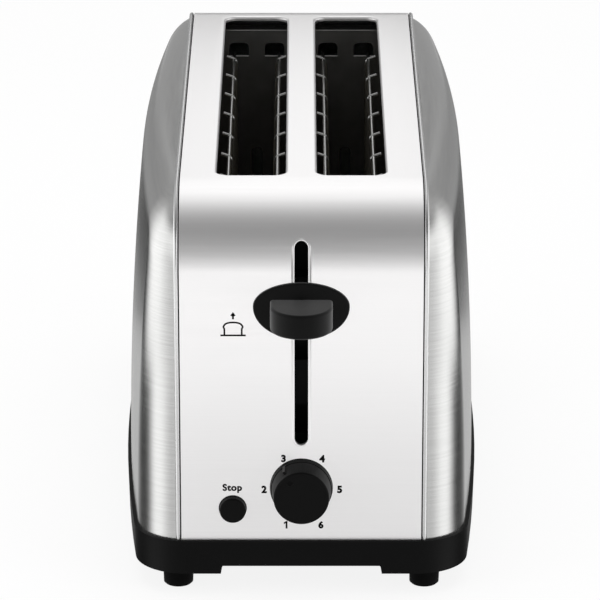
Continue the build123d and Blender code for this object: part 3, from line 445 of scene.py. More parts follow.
holes = []
for slot_x in (-SLOT_X, SLOT_X):
    low = (slot_x - SLOT_HALF, SLOT_START)
    high = (slot_x + SLOT_HALF, SLOT_END)
    holes.append(hole_rows(low, high, SLOT_CORNER, SLOT_EDGE, SLOT_COLLAR, top_travel))
low = (-LEVER_SLOT_HALF, LEVER_SLOT_LOW)
high = (LEVER_SLOT_HALF, LEVER_SLOT_HIGH)
holes.append(hole_rows(low, high, LEVER_SLOT_HALF, HOLE_EDGE, HOLE_COLLAR, travel_at_height, LEVER_LIP))
for hole_x, hole_z, radius in ((0, KNOB_Z, SHAFT_HOLE), (BUTTON_X, BUTTON_Z, BUTTON_HOLE)):
    low = (hole_x - radius, hole_z - radius)
    high = (hole_x + radius, hole_z + radius)
    holes.append(hole_rows(low, high, radius, HOLE_EDGE / 2, HOLE_COLLAR, travel_at_height))
print("holes in the band:", len(holes))

# %% Fill, cut and bend the sheet
BAND_HALF = band_high.x
BAND_WALL = 0.8 * MM
CUT_SNAP = 1e-4


def loop_edges(bm, points):
    """Closed loop in the flat drawing, which is in millimetres so that the fill finds no edge too short."""
    vertices = [bm.verts.new((x / MM, travel / MM, 0)) for x, travel in points]
    return [bm.edges.new((vertices[i - 1], vertices[i])) for i in range(len(vertices))]


def bent_band():
    """Band without thickness: the flat sheet filled, cut and bent, with its turned edges."""
    bm = bmesh.new()
    edges = loop_edges(bm, [(-BAND_HALF, 0), (BAND_HALF, 0), (BAND_HALF, WRAP), (-BAND_HALF, WRAP)])
    for rows in holes:
        edges += loop_edges(bm, [(x, travel) for x, travel, _ in rows[0]])
    bmesh.ops.triangle_fill(bm, use_beauty=True, edges=edges, normal=(0, 0, 1))
    for start in (RISE, WRAP - RISE - BEND):
        for i in range(BEND_STEPS + 1):
            everything = bm.verts[:] + bm.edges[:] + bm.faces[:]
            cut = (0, (start + BEND * i / BEND_STEPS) / MM, 0)
            bmesh.ops.bisect_plane(bm, geom=everything, plane_co=cut, plane_no=(0, 1, 0), dist=CUT_SNAP)
    for vertex in bm.verts:
        vertex.co = wrap_point(vertex.co.x * MM, vertex.co.y * MM)
    for rows in holes:
        placed = [[bm.verts.new(wrap_point(*point)) for point in row] for row in rows]
        skin(bm, placed, closed=True)
    bmesh.ops.remove_doubles(bm, verts=bm.verts, dist=MERGE)
    bmesh.ops.recalc_face_normals(bm, faces=bm.faces)
    highest = max(bm.faces, key=lambda face: face.calc_center_median().z)
    if highest.normal.z < 0:
        bmesh.ops.reverse_faces(bm, faces=bm.faces)
    return bm


band = object_from_bmesh(bent_band(), "centre_band_sheet")
add_modifier(band, "wall", "SOLIDIFY", thickness=BAND_WALL, offset=-1)
settle(band)
finish_piece(band, band_steel, "band_steel", "housing", "centre_band")
print("band faces:", len(band.data.polygons))

# %% [markdown]
# ## Side shells
#
# A shell is a pressed sheet: its side is a very flat dome, and its rim is a large round that meets the
# trim. A bevelled box would have the round but not the dome. The rim is what a ball would leave that
# rolls along the inside of the wrap and touches the dome. Each cross section along the wrap is worked out
# from that ball: an arc from the trim to the dome, and then a line down the dome to the lower edge. The
# same points, moved inwards by the wall, make the inner face.

# %% Shell points from a rolling ball
DOME_RADIUS = 1516 * MM
DOME_OUT = 87.2 * MM
RIM = 24 * MM
SHELL_EDGE_X = 60.1 * MM
RIM_STEPS = 16
DOME_STEPS = 28
dome_centre = Vector((DOME_OUT - DOME_RADIUS, BODY_MID, BOTTOM))


def shell_section(travel):
    """Points and outward directions across the shell at one place along the wrap."""
    y, z, out_y, out_z = on_wrap(travel)
    out = Vector((0, out_y, out_z))
    ball = Vector((0, y, z)) - RIM * out
    reach = (DOME_RADIUS - RIM) ** 2 - (ball.y - dome_centre.y) ** 2 - (ball.z - dome_centre.z) ** 2
    ball.x = dome_centre.x + sqrt(reach)
    to_dome = (ball - dome_centre).normalized()
    across = (to_dome - to_dome.dot(out) * out).normalized()
    first = asin((SHELL_EDGE_X - ball.x) / (RIM * across.x))
    last = acos(to_dome.dot(out))
    section = []
    for i in range(RIM_STEPS + 1):
        angle = first + (last - first) * i / RIM_STEPS
        direction = cos(angle) * out + sin(angle) * across
        section.append((ball + RIM * direction, direction))
    touch = section[-1][0]
    share = travel / WRAP
    near_end = BODY_MID - (BODY_MID - FRONT - RIM) * (1 - 2 * share)
    for i in range(1, DOME_STEPS + 1):
        step = i / DOME_STEPS
        point = Vector((0, touch.y + (near_end - touch.y) * step, touch.z + (BOTTOM - touch.z) * step))
        drop = DOME_RADIUS**2 - (point.y - dome_centre.y) ** 2 - (point.z - dome_centre.z) ** 2
        point.x = dome_centre.x + sqrt(drop)
        section.append((point, (point - dome_centre).normalized()))
    return section


print("points across a shell:", len(shell_section(0)))

# %% Two shells
SHELL_WALL = 0.9 * MM


def shell_bmesh(side):
    """Outer and inner face of one shell, joined round their edges."""
    bm = bmesh.new()
    sections = [shell_section(travel) for travel in wrap_stops(rise_steps=18, run_steps=40)]
    mirror = Matrix.Diagonal((side, 1, 1))
    skins = []
    for depth in (0, SHELL_WALL):
        skins.append([[bm.verts.new(mirror @ (p - depth * n)) for p, n in section] for section in sections])
    outer, inner = skins
    skin(bm, outer, closed=False)
    skin(bm, inner, closed=False)
    for end in (0, -1):
        skin(bm, [[row[end] for row in outer], [row[end] for row in inner]], closed=False)
    for end in (0, -1):
        skin(bm, [outer[end], inner[end]], closed=False)
    bmesh.ops.remove_doubles(bm, verts=bm.verts, dist=MERGE)
    bmesh.ops.dissolve_degenerate(bm, edges=bm.edges, dist=MERGE / 10)
    bmesh.ops.recalc_face_normals(bm, faces=bm.faces)
    return bm


for side, word in SIDES:
    shell = object_from_bmesh(shell_bmesh(side), f"{word}_shell_pressing")
    finish_piece(shell, shell_steel, "shell_steel", "housing", f"{word}_side_shell")
    print(shell.name, "faces:", len(shell.data.polygons))

# %% [markdown]
# ## Seam trims
#
# A narrow polished strip hides each seam between band and shell. Its bead is a half round that stands a
# little above the band's face. A curve with a bevel could draw it, but rows of points keep its depth
# exact: a cross section follows the wrap and is closed at both lower ends.

# %% Beads along the wrap
TRIM_INNER = 57.9 * MM
TRIM_OUTER = 60.1 * MM
TRIM_RISE = 0.3 * MM
TRIM_DEPTH = 4 * MM
BEAD = (TRIM_OUTER - TRIM_INNER) / 2
HALF_ROUND = [radians(15 * i) for i in range(13)]


def bead_section():
    """Points (x, depth) over the bead, from the band's side to the shell's side."""
    middle = (TRIM_INNER + TRIM_OUTER) / 2
    round_top = [(middle - BEAD * cos(a), BEAD - TRIM_RISE - BEAD * sin(a)) for a in HALF_ROUND]
    return [(TRIM_INNER, TRIM_DEPTH)] + round_top + [(TRIM_OUTER, TRIM_DEPTH)]


def trim_bmesh(side):
    """One strip from the lower front edge over the top to the lower rear edge."""
    bm = bmesh.new()
    rows = []
    for travel in wrap_stops(rise_steps=6, run_steps=12):
        rows.append([bm.verts.new(wrap_point(side * x, travel, depth)) for x, depth in bead_section()])
    skin(bm, rows, closed=True)
    bm.faces.new(rows[0])
    bm.faces.new(rows[-1])
    bmesh.ops.recalc_face_normals(bm, faces=bm.faces)
    return bm


for side, word in SIDES:
    trim = object_from_bmesh(trim_bmesh(side), f"{word}_trim_bead")
    finish_piece(trim, trim_steel, "trim_steel", "housing", f"{word}_seam_trim")
    print(trim.name, "faces:", len(trim.data.polygons))

# %% [markdown]
# ## Mouldings and other solid pieces
#
# The base, lever, knob, button, tray and end plates already have their true shape in the measured model,
# but its mesh is loose triangles with hard edges. Drawing them again would only lose accuracy, so a copy
# is merged, its flat areas become single faces, and its edges get the small round that a mould or a bend
# leaves, which catches a line of light. The black controls are left out of reflections, so that the
# brushed front stays clean around them. Along the top fold of the rear plate and under its holes, where
# the slots show them, thin bright beads are a painted highlight: the line of light that these edges catch.

# %% Copies with soft edges
FLAT_WITHIN = radians(0.4)
SOFTEN_ABOVE = 30


def softened(node, edge_mm):
    """Merged copy of a node's mesh with a small round on every sharp edge."""
    bm = bmesh.new()
    bm.from_mesh(frame["nodes"][node].data)
    bmesh.ops.remove_doubles(bm, verts=bm.verts, dist=MERGE)
    bmesh.ops.dissolve_limit(bm, angle_limit=FLAT_WITHIN, verts=bm.verts, edges=bm.edges)
    piece = object_from_bmesh(bm, f"{node}_piece", SOFTEN_ABOVE)
    if edge_mm:
        edge = add_modifier(piece, "edge", "BEVEL", width=edge_mm * MM, segments=2, use_clamp_overlap=True)
        edge.limit_method = "ANGLE"
        edge.angle_limit = radians(SOFTEN_ABOVE)
        edge.harden_normals = True
    return piece


body_of = {node: body for body, nodes in frame["record"]["behaviour"]["bodies"].items() for node in nodes}
# Width of the round in millimetres. It is 0 where the measured model has its rounds or bevels already.
SOFT_EDGES = {
    "base": 0.6,
    "feet": 0,
    "lever_handle": 0,
    "browning_knob": 0,
    "stop_button": 0,
    "tray_pull": 0.5,
    "lead_gland": 0.3,
    "rear_end_plate": 0.35,
    "front_end_plate": 0.15,
    "crumb_tray": 0.15,
    "left_bread_rack": 0.15,
    "right_bread_rack": 0.15,
    "lift_carriage": 0.15,
    "base_screws": 0.2,
}
for node, edge_mm in SOFT_EDGES.items():
    piece = softened(node, edge_mm)
    slot = node_slot[node]
    finish = dial_plastic if node in ("browning_knob", "stop_button") else SLOT_FINISH[slot]
    finish_piece(piece, finish, slot, body_of[node], node)
    piece.visible_glossy = slot != "satin_plastic"
print("softened pieces:", len(SOFT_EDGES))

# %% Painted highlights along the rear plate's edges
EDGE_RADIUS = 0.35 * MM
EDGE_INSET = 2 * EDGE_RADIUS
EDGE_DROP = 1.3 * EDGE_RADIUS
PLATE_HOLE_X = (14.3 * MM, 33.5 * MM)
PLATE_HOLE_WIDTH = 10.5 * MM
PLATE_HOLE_LOW = 178.4 * MM
plate_low, plate_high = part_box("rear_end_plate")
along_x = Matrix.Rotation(pi / 2, 4, "Y")


def add_rod(bm, radius, length, place, segments):
    """Round rod along the Z of its place."""
    bmesh.ops.create_cone(
        bm, cap_ends=True, segments=segments, radius1=radius, radius2=radius, depth=length, matrix=place
    )


def painted_highlight_line(bm, x, z, length):
    """Thin bright bead along X on the front of the rear plate: a painted highlight on its edge."""
    add_rod(bm, EDGE_RADIUS, length, Matrix.Translation((x, plate_low.y, z)) @ along_x, segments=12)


# Bright beads on the top fold and under the holes: painted highlights, not a part of the plate.
lines = bmesh.new()
painted_highlight_line(lines, 0, plate_high.z - EDGE_RADIUS, plate_high.x - plate_low.x - 2 * EDGE_INSET)
for side, _ in SIDES:
    for hole_x in PLATE_HOLE_X:
        painted_highlight_line(lines, side * hole_x, PLATE_HOLE_LOW - EDGE_DROP, PLATE_HOLE_WIDTH)
painted_highlight_beads = object_from_bmesh(lines, "rear_plate_bare_edges")
finish_piece(painted_highlight_beads, plated_wire, "sheet_steel", "housing")
print("bare edges:", len(painted_highlight_beads.data.polygons), "faces")

# %% [markdown]
# ## Wire bread guides
#
# Each guide is two level rails with a row of upright wires, whose tips bend away from the bread. The
# wires repeat, so a node tree makes them: it rounds the bend of one wire, gives it a round section,
# repeats it along the slot and adds the rails. An array of copies would do that too, but here the sizes
# are inputs, and the same tree makes all four guides.

# %% Helpers for node trees
ROUND_BELOW = 50


def start_tree(name, **inputs):
    """Geometry tree with the named inputs of each kind, and the sockets that give them inside it."""
    tree = bpy.data.node_groups.new(name, "GeometryNodeTree")
    for kind, labels in inputs.items():
        for label in labels:
            tree.interface.new_socket(label, in_out="INPUT", socket_type=f"NodeSocket{kind}")
    tree.interface.new_socket("Piece", in_out="OUTPUT", socket_type="NodeSocketGeometry")
    return tree, add_node(tree, "NodeGroupInput").outputs


def round_wire(tree, line, radius, sides):
    """Wire with a round section along a line."""
    section = add_node(tree, "GeometryNodeCurvePrimitiveCircle", {"Resolution": sides, "Radius": radius})
    ends = {"Curve": line, "Profile Curve": section, "Fill Caps": True}
    return add_node(tree, "GeometryNodeCurveToMesh", ends)


def row_of_copies(tree, shape, count, axis, step):
    """Copies of a shape, one step apart along an axis."""
    offset = add_node(tree, "ShaderNodeCombineXYZ", {axis: step})
    places = add_node(tree, "GeometryNodeMeshLine", {"Count": count, "Offset": offset})
    return add_node(tree, "GeometryNodeInstanceOnPoints", {"Points": places, "Instance": shape})


def end_tree(tree, shape, metal):
    """The end of a tree: its copies become real and get their material."""
    real = add_node(tree, "GeometryNodeRealizeInstances", {"Geometry": shape})
    dressed = add_node(tree, "GeometryNodeSetMaterial", {"Geometry": real, "Material": metal})
    add_node(tree, "NodeGroupOutput", {"Piece": dressed})


def piece_from_tree(name, mesh, tree, values):
    """Plain mesh of what the tree makes with these values, each set by its socket's identifier."""
    piece = link_object(name, mesh)
    nodes = add_modifier(piece, "tree", "NODES", node_group=tree)
    for socket in tree.interface.items_tree:
        if socket.name in values:
            nodes[socket.identifier] = values[socket.name]
    settle(piece, ROUND_BELOW)
    return piece


print("wires are shaded smooth below", ROUND_BELOW, "degrees")

# %% A node tree for one guide
WIRE_SIDES = 14
guide_tree, given = start_tree(
    "bread_guide",
    Geometry=["Wire path"],
    Int=["Wires"],
    Float=["Pitch", "Wire radius", "Bend radius", "Rail rise"],
    Vector=["Rail start", "Rail end"],
    Material=["Metal"],
)
path = add_node(guide_tree, "GeometryNodeMeshToCurve", {"Mesh": given["Wire path"]})
bend = add_node(
    guide_tree,
    "GeometryNodeFilletCurve",
    {"Curve": path, "Radius": given["Bend radius"], "Count": 6},
    mode="POLY",
)
wire = round_wire(guide_tree, bend, given["Wire radius"], WIRE_SIDES)
wire_row = row_of_copies(guide_tree, wire, given["Wires"], "Y", given["Pitch"])
rail_path = add_node(
    guide_tree, "GeometryNodeCurvePrimitiveLine", {"Start": given["Rail start"], "End": given["Rail end"]}
)
rail = round_wire(guide_tree, rail_path, given["Wire radius"], WIRE_SIDES)
rails = row_of_copies(guide_tree, rail, 2, "Z", given["Rail rise"])
together = add_node(guide_tree, "GeometryNodeJoinGeometry")
for part in (rails, wire_row):
    guide_tree.links.new(part.outputs[0], together.inputs[0])
end_tree(guide_tree, together, given["Metal"])
print("nodes of the guide tree:", len(guide_tree.nodes))

# %% Four guides from the tree
WIRE_RADIUS = 0.9 * MM
GUIDE_RAIL = 12.1 * MM
GUIDE_TOP = 179.3 * MM
GUIDE_BOTTOM = 54.3 * MM
GUIDE_FIRST = FRONT + 63 * MM
WIRE_LAP = 1.3 * MM
TIP_OUT = 5.2 * MM
TIP_UP = 1.8 * MM


def bread_guide(node, side, outward):
    """One guide: side is the slot's side of the body, outward points from the bread to the heater."""
    low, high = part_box(node)
    rail_x = side * SLOT_X + outward * GUIDE_RAIL
    wire_x = rail_x - outward * WIRE_LAP
    foot = (wire_x, GUIDE_FIRST, GUIDE_BOTTOM - 2 * WIRE_RADIUS)
    shoulder = (wire_x, GUIDE_FIRST, GUIDE_TOP)
    tip = (wire_x + outward * TIP_OUT, GUIDE_FIRST, GUIDE_TOP + TIP_UP)
    mesh = bpy.data.meshes.new(f"{node}_wires")
    mesh.from_pydata([foot, shoulder, tip], [(0, 1), (1, 2)], [])
    values = {
        "Wires": 8,
        "Pitch": 34.4 * MM,
        "Wire radius": WIRE_RADIUS,
        "Bend radius": 3 * MM,
        "Rail start": (rail_x, low.y, GUIDE_BOTTOM),
        "Rail end": (rail_x, high.y, GUIDE_BOTTOM),
        "Rail rise": GUIDE_TOP - GUIDE_BOTTOM,
        "Metal": plated_wire,
    }
    piece = piece_from_tree(f"{node}_wires", mesh, guide_tree, values)
    return finish_piece(piece, plated_wire, "wire_steel", f"{node}_body", node)


for side, word in SIDES:
    for place, outward in (("outer", side), ("inner", -side)):
        guide = bread_guide(f"{word}_{place}_guide", side, outward)
        print(guide.name, "faces:", len(guide.data.polygons))

# %% [markdown]
# ## Lift springs
#
# Two springs hang from the folded top of the front plate and pull the carriage up. Each is one wire wound
# round and round. Blender's spiral is such a curve, so a second tree winds it and gives it a round
# section.

# %% A node tree for a spring
COIL_SIDES = 10
coil_tree, asked = start_tree(
    "lift_spring", Vector=["Foot"], Float=["Height", "Radius", "Wire radius", "Turns"], Material=["Metal"]
)
winding = add_node(
    coil_tree,
    "GeometryNodeCurveSpiral",
    {
        "Resolution": 24,
        "Rotations": asked["Turns"],
        "Start Radius": asked["Radius"],
        "End Radius": asked["Radius"],
        "Height": asked["Height"],
    },
)
wound = round_wire(coil_tree, winding, asked["Wire radius"], COIL_SIDES)
hung = add_node(coil_tree, "GeometryNodeTransform", {"Geometry": wound, "Translation": asked["Foot"]})
end_tree(coil_tree, hung, asked["Metal"])
print("nodes of the spring tree:", len(coil_tree.nodes))

# %% Two wound springs
COIL_WIRE = 0.45 * MM


def lift_spring(node):
    """One spring in the place of its node, stretched between the front plate and the carriage."""
    low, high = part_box(node)
    middle = (low + high) / 2
    values = {
        "Foot": (middle.x, middle.y, low.z + COIL_WIRE),
        "Height": high.z - low.z - 2 * COIL_WIRE,
        "Radius": 3.6 * MM,
        "Wire radius": COIL_WIRE,
        "Turns": 5.0,
        "Metal": plated_wire,
    }
    piece = piece_from_tree(f"{node}_coil", bpy.data.meshes.new(f"{node}_coil"), coil_tree, values)
    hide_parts(node)
    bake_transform(piece)
    return piece


for _, word in SIDES:
    spring = lift_spring(f"{word}_lift_spring")
    print(spring.name, "faces:", len(spring.data.polygons))

# %% [markdown]
# ## Printed marks
#
# The browning numbers, the word over the button and a small sign for lifting the bread are printed on the
# band. A picture on the steel would blur close up, so they are shapes: the text comes from Blender's own
# font and is made a mesh, and the sign is drawn with strokes of one width. Everything is a film of ink,
# so it gets only a trace of thickness. A disc of the same black ink fills the knob's dimple: painted shade
# for the dark of the hollow.

# %% Letters and strokes as flat shapes
LETTER_SPACE = 1.1
LETTER_MERGE = 1e-5
LEAST_SHIFT = 0.3


def text_points(body, bold):
    """Vertices and faces of a word in the built-in font, with its outline moved outwards by bold."""
    data = bpy.data.curves.new("lettering", "FONT")
    data.body = body
    data.space_character = LETTER_SPACE
    holder = bpy.data.objects.new("lettering", data)
    bm = bmesh.new()
    bm.from_mesh(bpy.data.meshes.new_from_object(holder))
    bpy.data.objects.remove(holder)
    bmesh.ops.remove_doubles(bm, verts=bm.verts, dist=LETTER_MERGE)
    bm.verts.index_update()
    points = [vertex.co.copy() for vertex in bm.verts]
    for vertex in bm.verts:
        shift = Vector((0, 0, 0))
        for edge in vertex.link_edges:
            if edge.is_boundary:
                along = edge.other_vert(vertex).co - vertex.co
                out = Vector((along.y, -along.x, 0)).normalized()
                inside = edge.link_faces[0].calc_center_median() - vertex.co
                shift += -out / 2 if out.dot(inside) > 0 else out / 2
        points[vertex.index] += shift * bold / max(shift.length_squared, LEAST_SHIFT)
    faces = [tuple(vertex.index for vertex in face.verts) for face in bm.faces]
    bm.free()
    return points, faces


def stroke_points(line, width):
    """Vertices and faces of a stroke of even width along a line of points."""
    points = []
    for i, (x, z) in enumerate(line):
        before = line[max(i - 1, 0)]
        after = line[min(i + 1, len(line) - 1)]
        along = Vector((after[0] - before[0], after[1] - before[1])).normalized() * width / 2
        points += [Vector((x - along.y, z + along.x, 0)), Vector((x + along.y, z - along.x, 0))]
    faces = [(2 * i, 2 * i + 1, 2 * i + 3, 2 * i + 2) for i in range(len(line) - 1)]
    return points, faces


def curve_through(points, steps=8):
    """Points on a smooth line that passes through the given ones."""
    ends = [points[0]] + points + [points[-1]]
    line = []
    for i in range(len(points) - 1):
        a, b, c, d = (Vector(point) for point in ends[i : i + 4])
        for k in range(steps):
            t = k / steps
            square = (2 * a - 5 * b + 4 * c - d) * t**2
            cube = (3 * b - a - 3 * c + d) * t**3
            line.append(0.5 * (2 * b + (c - a) * t + square + cube))
    return line + [Vector(points[-1])]


print("points of a printed 8:", len(text_points("8", 0)[0]))

# %% Numbers round the knob and the word over the button
INK = 0.04 * MM
DIGIT_HEIGHT = 3.85 * MM
DIGIT_BOLD = 0.058
WORD_HEIGHT = 4.7 * MM
WORD_BOLD = 0.045
WORD_X = -33.0 * MM
WORD_Z = 55.3 * MM
# Each digit with its place on the front, in millimetres.
DIGITS = (
    ("1", -7.5, 36.5),
    ("2", -17.8, 54.8),
    ("3", -8.5, 70.7),
    ("4", 9.9, 70.6),
    ("5", 18.3, 54.8),
    ("6", 9.4, 36.5),
)
# The font's 1 has another shape, so this one is drawn.
ONE_OUTLINE = ((0.2, 0), (0.98, 0), (0.98, 3.4), (0.4, 3.4), (-0.55, 2.75), (-0.55, 2.0), (0.2, 2.45))
marks = bmesh.new()


def print_on_front(bm, shape, centre_x, centre_z, height=None):
    """Puts a flat shape on the front, scaled to a height if one is given, and centred there."""
    points, faces = shape
    if height:
        lows = [min(point[i] for point in points) for i in (0, 1)]
        highs = [max(point[i] for point in points) for i in (0, 1)]
        middle = Vector(((lows[0] + highs[0]) / 2, (lows[1] + highs[1]) / 2, 0))
        factor = height / (highs[1] - lows[1])
        points = [(point - middle) * factor for point in points]
    placed = [bm.verts.new((centre_x + point.x, FRONT - INK, centre_z + point.y)) for point in points]
    for face in faces:
        bm.faces.new([placed[i] for i in face])


one = ([Vector((x, z, 0)) for x, z in ONE_OUTLINE], [tuple(range(len(ONE_OUTLINE)))])
for digit, x, z in DIGITS:
    shape = one if digit == "1" else text_points(digit, DIGIT_BOLD)
    print_on_front(marks, shape, x * MM, z * MM, DIGIT_HEIGHT)
print_on_front(marks, text_points("Stop", WORD_BOLD), WORD_X, WORD_Z, WORD_HEIGHT)
print("faces of numbers and word:", len(marks.faces))

# %% Sign for lifting, and the film of ink
SIGN_X = -32.2 * MM
SIGN_Z = 133.2 * MM
STROKE = 0.85 * MM
SHELF_HALF = 6.0 * MM
# Outlines in millimetres: the left half of a slice, and an arrow that points up.
HALF_SLICE = ((-4.1, 0), (-4.1, 2.2), (-4.15, 3.3), (-4.5, 4.4), (-3.5, 5.75), (-1.8, 6.35), (0, 6.5))
ARROW = ((-0.45, 8.1), (0.45, 8.1), (0.45, 9.6), (1.25, 9.9), (0, 11.7), (-1.25, 9.9), (-0.45, 9.6))
slice_line = curve_through([(x * MM, z * MM) for x, z in HALF_SLICE])
slice_line += [Vector((-point.x, point.y)) for point in reversed(slice_line[:-1])]
shelf_line = [Vector((-SHELF_HALF, 0)), Vector((SHELF_HALF, 0))]
arrow_points = [Vector((x * MM, z * MM, 0)) for x, z in ARROW]
arrow_faces = [(0, 1, 2, 6), (2, 3, 4, 5, 6)]
print_on_front(marks, stroke_points(slice_line, STROKE), SIGN_X, SIGN_Z)
print_on_front(marks, stroke_points(shelf_line, STROKE), SIGN_X, SIGN_Z)
print_on_front(marks, (arrow_points, arrow_faces), SIGN_X, SIGN_Z)
bmesh.ops.recalc_face_normals(marks, faces=marks.faces)
for face in marks.faces:
    if face.normal.y > 0:
        face.normal_flip()
printed = object_from_bmesh(marks, "printed_marks")
add_modifier(printed, "film", "SOLIDIFY", thickness=INK, offset=-1)
finish_piece(printed, print_ink_and_painted_shade, "black_plastic", "housing")
print("printed faces:", len(printed.data.polygons))

# %% Painted shade in the knob's dimple
DIMPLE_OUT = 9.4 * MM
DIMPLE_ANGLE = radians(-35)
DIMPLE_RADIUS = 1.38 * MM
DIMPLE_FILL = 1.4 * MM
DIMPLE_LEVEL = 0.1 * MM
knob_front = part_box("browning_knob")[0].y
dimple_x = DIMPLE_OUT * sin(DIMPLE_ANGLE)
dimple_z = KNOB_Z + DIMPLE_OUT * cos(DIMPLE_ANGLE)
fill_y = knob_front + DIMPLE_LEVEL + DIMPLE_FILL / 2
fill_place = Matrix.Translation((dimple_x, fill_y, dimple_z)) @ Matrix.Rotation(pi / 2, 4, "X")
# A disc of black ink in the dimple: painted shade for the dark of the hollow.
dot = bmesh.new()
add_rod(dot, DIMPLE_RADIUS, DIMPLE_FILL, fill_place, segments=28)
knob_dimple_painted_shade = object_from_bmesh(dot, "knob_dimple_painted_shade")
finish_piece(knob_dimple_painted_shade, print_ink_and_painted_shade, "satin_plastic", "knob")
print("dot at", round(dimple_x / MM, 1), round(dimple_z / MM, 1))

# %% [markdown]
# ## Floor and cards
#
# Steel shows its surroundings, so most of its look is made here. The floor is pale and shows white to the
# camera. Lamps alone would leave the steel with a few bright spots, so cards that only reflections see
# stand round the toaster, as in a photographer's studio. Beside each front corner lies one whose light
# part and dark part draw the streaks down the corner, and it stands up further away, where the bend above
# the corner looks. A card on the floor in front shades the front from top to bottom, and a small dark one
# behind shades the far end of the top. Two grey cards stand further behind, left and right, and give the
# shells' shoulders an even grey.

# %% Pale floor
FLOOR_HALF = 4.0
FLOOR_WHITE = 1.04
FLOOR_WHITE_SHARE = 0.84


def empty_material(name):
    """Material whose tree has no nodes yet."""
    material = bpy.data.materials.new(name)
    material.use_nodes = True
    material.node_tree.nodes.clear()
    return material, material.node_tree


def floor_material():
    """Matt pale floor. To the camera and in reflections it is lifted towards white and keeps the shadow."""
    material, tree = empty_material("painted_board_pale_matt")
    rays = add_node(tree, "ShaderNodeLightPath").outputs
    mirrored = add_node(
        tree,
        "ShaderNodeMath",
        {0: rays["Is Glossy Ray"], 1: rays["Is Transmission Ray"]},
        operation="MAXIMUM",
    )
    seen = add_node(tree, "ShaderNodeMath", {0: rays["Is Camera Ray"], 1: mirrored}, operation="MAXIMUM")
    share = add_node(tree, "ShaderNodeMath", {0: seen, 1: FLOOR_WHITE_SHARE}, operation="MULTIPLY")
    matt = add_node(tree, "ShaderNodeBsdfDiffuse", {"Color": linear("F2F2F2")})
    white = add_node(tree, "ShaderNodeEmission", {"Color": linear("FFFFFF"), "Strength": FLOOR_WHITE})
    mixed = add_node(tree, "ShaderNodeMixShader", {0: share, 1: matt, 2: white})
    add_node(tree, "ShaderNodeOutputMaterial", {"Surface": mixed})
    return material


def stage_piece(name, points, faces, material):
    """Floor or card, which is not part of the toaster."""
    mesh = bpy.data.meshes.new(name)
    mesh.from_pydata(points, [], faces)
    mesh.materials.append(material)
    piece = link_object(name, mesh)
    return piece


floor_corners = [(FLOOR_HALF * x, FLOOR_HALF * y, 0) for x, y in ((-1, -1), (1, -1), (1, 1), (-1, 1))]
stage_piece("floor", floor_corners, [(0, 1, 2, 3)], floor_material())
print("floor of", 2 * FLOOR_HALF, "m")

# %% A card that only reflections see
CARD_LIFT = 0.4 * MM


def card_material():
    """Card that glows with the level stored at its points."""
    material, tree = empty_material("card_glowing")
    level = add_node(tree, "ShaderNodeAttribute", attribute_name="level").outputs["Fac"]
    glow = add_node(tree, "ShaderNodeEmission", {"Color": linear("FFFFFF"), "Strength": level})
    add_node(tree, "ShaderNodeOutputMaterial", {"Surface": glow})
    return material


card_finish = card_material()


def card(name, lines, levels):
    """Card between lines of points, with a level at each point."""
    rows = len(lines[0])
    faces = []
    for i in range(len(lines) - 1):
        for k in range(i * rows, i * rows + rows - 1):
            faces.append((k, k + 1, k + rows + 1, k + rows))
    piece = stage_piece(name, [point for line in lines for point in line], faces, card_finish)
    stored = piece.data.attributes.new("level", "FLOAT", "POINT")
    stored.data.foreach_set("value", levels)
    for ray in ("camera", "diffuse", "shadow", "transmission"):
        setattr(piece, f"visible_{ray}", False)
    return piece


print("cards lie", CARD_LIFT / MM, "mm above the floor")

# %% Cards beside the front corners
CORNER_X = 53 * MM
WALL_LEVEL = 0.5
FLOOR_END = 184
WALL_END = 165
LIT_FROM = 35
LIT_TO = 70
STREAK_END = 118
LAST_SEEN = 184
# Direction that the corner mirrors, in degrees from straight ahead to the rear, and the brightness there.
CORNER_LEVELS = (
    (15, 0.9),
    (40, 0.95),
    (50, 1.25),
    (62, 1.75),
    (80, 1.85),
    (88, 1.45),
    (97, 0.72),
    (106, 0.12),
    (116, 0.0),
    (124, 0.03),
    (134, 0.05),
    (145, 0.25),
    (160, 0.6),
    (LAST_SEEN, 0.7),
)
# Rows of the card: reach from the corner and height in metres, stretch of the directions, how much of the
# dark and of the light parts is left, and the least brightness of the lit part.
CORNER_ROWS = (
    (0.0, 0.0, 0.91, 0.85, 0.85, 0),
    (0.14, 0.0, 0.94, 0.9, 0.9, 0),
    (0.255, 0.0, 0.985, 0.97, 0.95, 0),
    (0.345, 0.0, 1.02, 1.0, 1.0, 0),
    (0.4, 0.0, 1.3, 1.0, 1.0, 0),
    (0.6, 0.0, 1.42, 1.0, 1.0, 0),
    (0.9, 0.0, 1.5, 0.38, 1.0, 0),
    (0.9, 0.15, 1.45, 0.35, 1.0, 1.2),
    (0.9, 0.5, 1.33, 0.0, 0.85, 1.75),
    (0.9, 0.78, 1.3, 0.0, 0.0, 0),
)


def card_way(seen, stretch, end):
    """Direction of a point of the card: stretched up to the dark streak, then evenly to the end."""
    if seen <= STREAK_END:
        return min(seen * stretch, end)
    streak = min(STREAK_END * stretch, end)
    return streak + (end - streak) * (seen - STREAK_END) / (LAST_SEEN - STREAK_END)


def corner_card(side):
    """Card beside a front corner, lying and then standing: its lines run the way that reflections take."""
    lines = []
    levels = []
    for seen, level in CORNER_LEVELS:
        facing = radians(seen / 2)
        line = []
        for reach, height, stretch, dark, light, lit in CORNER_ROWS:
            way = radians(card_way(seen, stretch, WALL_END if height else FLOOR_END))
            x = CORNER_X + RIM * sin(facing) + reach * sin(way)
            y = FRONT + RIM - RIM * cos(facing) - reach * cos(way)
            line.append((side * x, y, CARD_LIFT + height))
            step = (max(level, lit) if LIT_FROM < seen < LIT_TO else level) - WALL_LEVEL
            levels.append(WALL_LEVEL + step * (light if step > 0 else dark))
        lines.append(line)
    return card(f"corner_card_{side}", lines, levels)


for side, _ in SIDES:
    print(corner_card(side).name, "made")

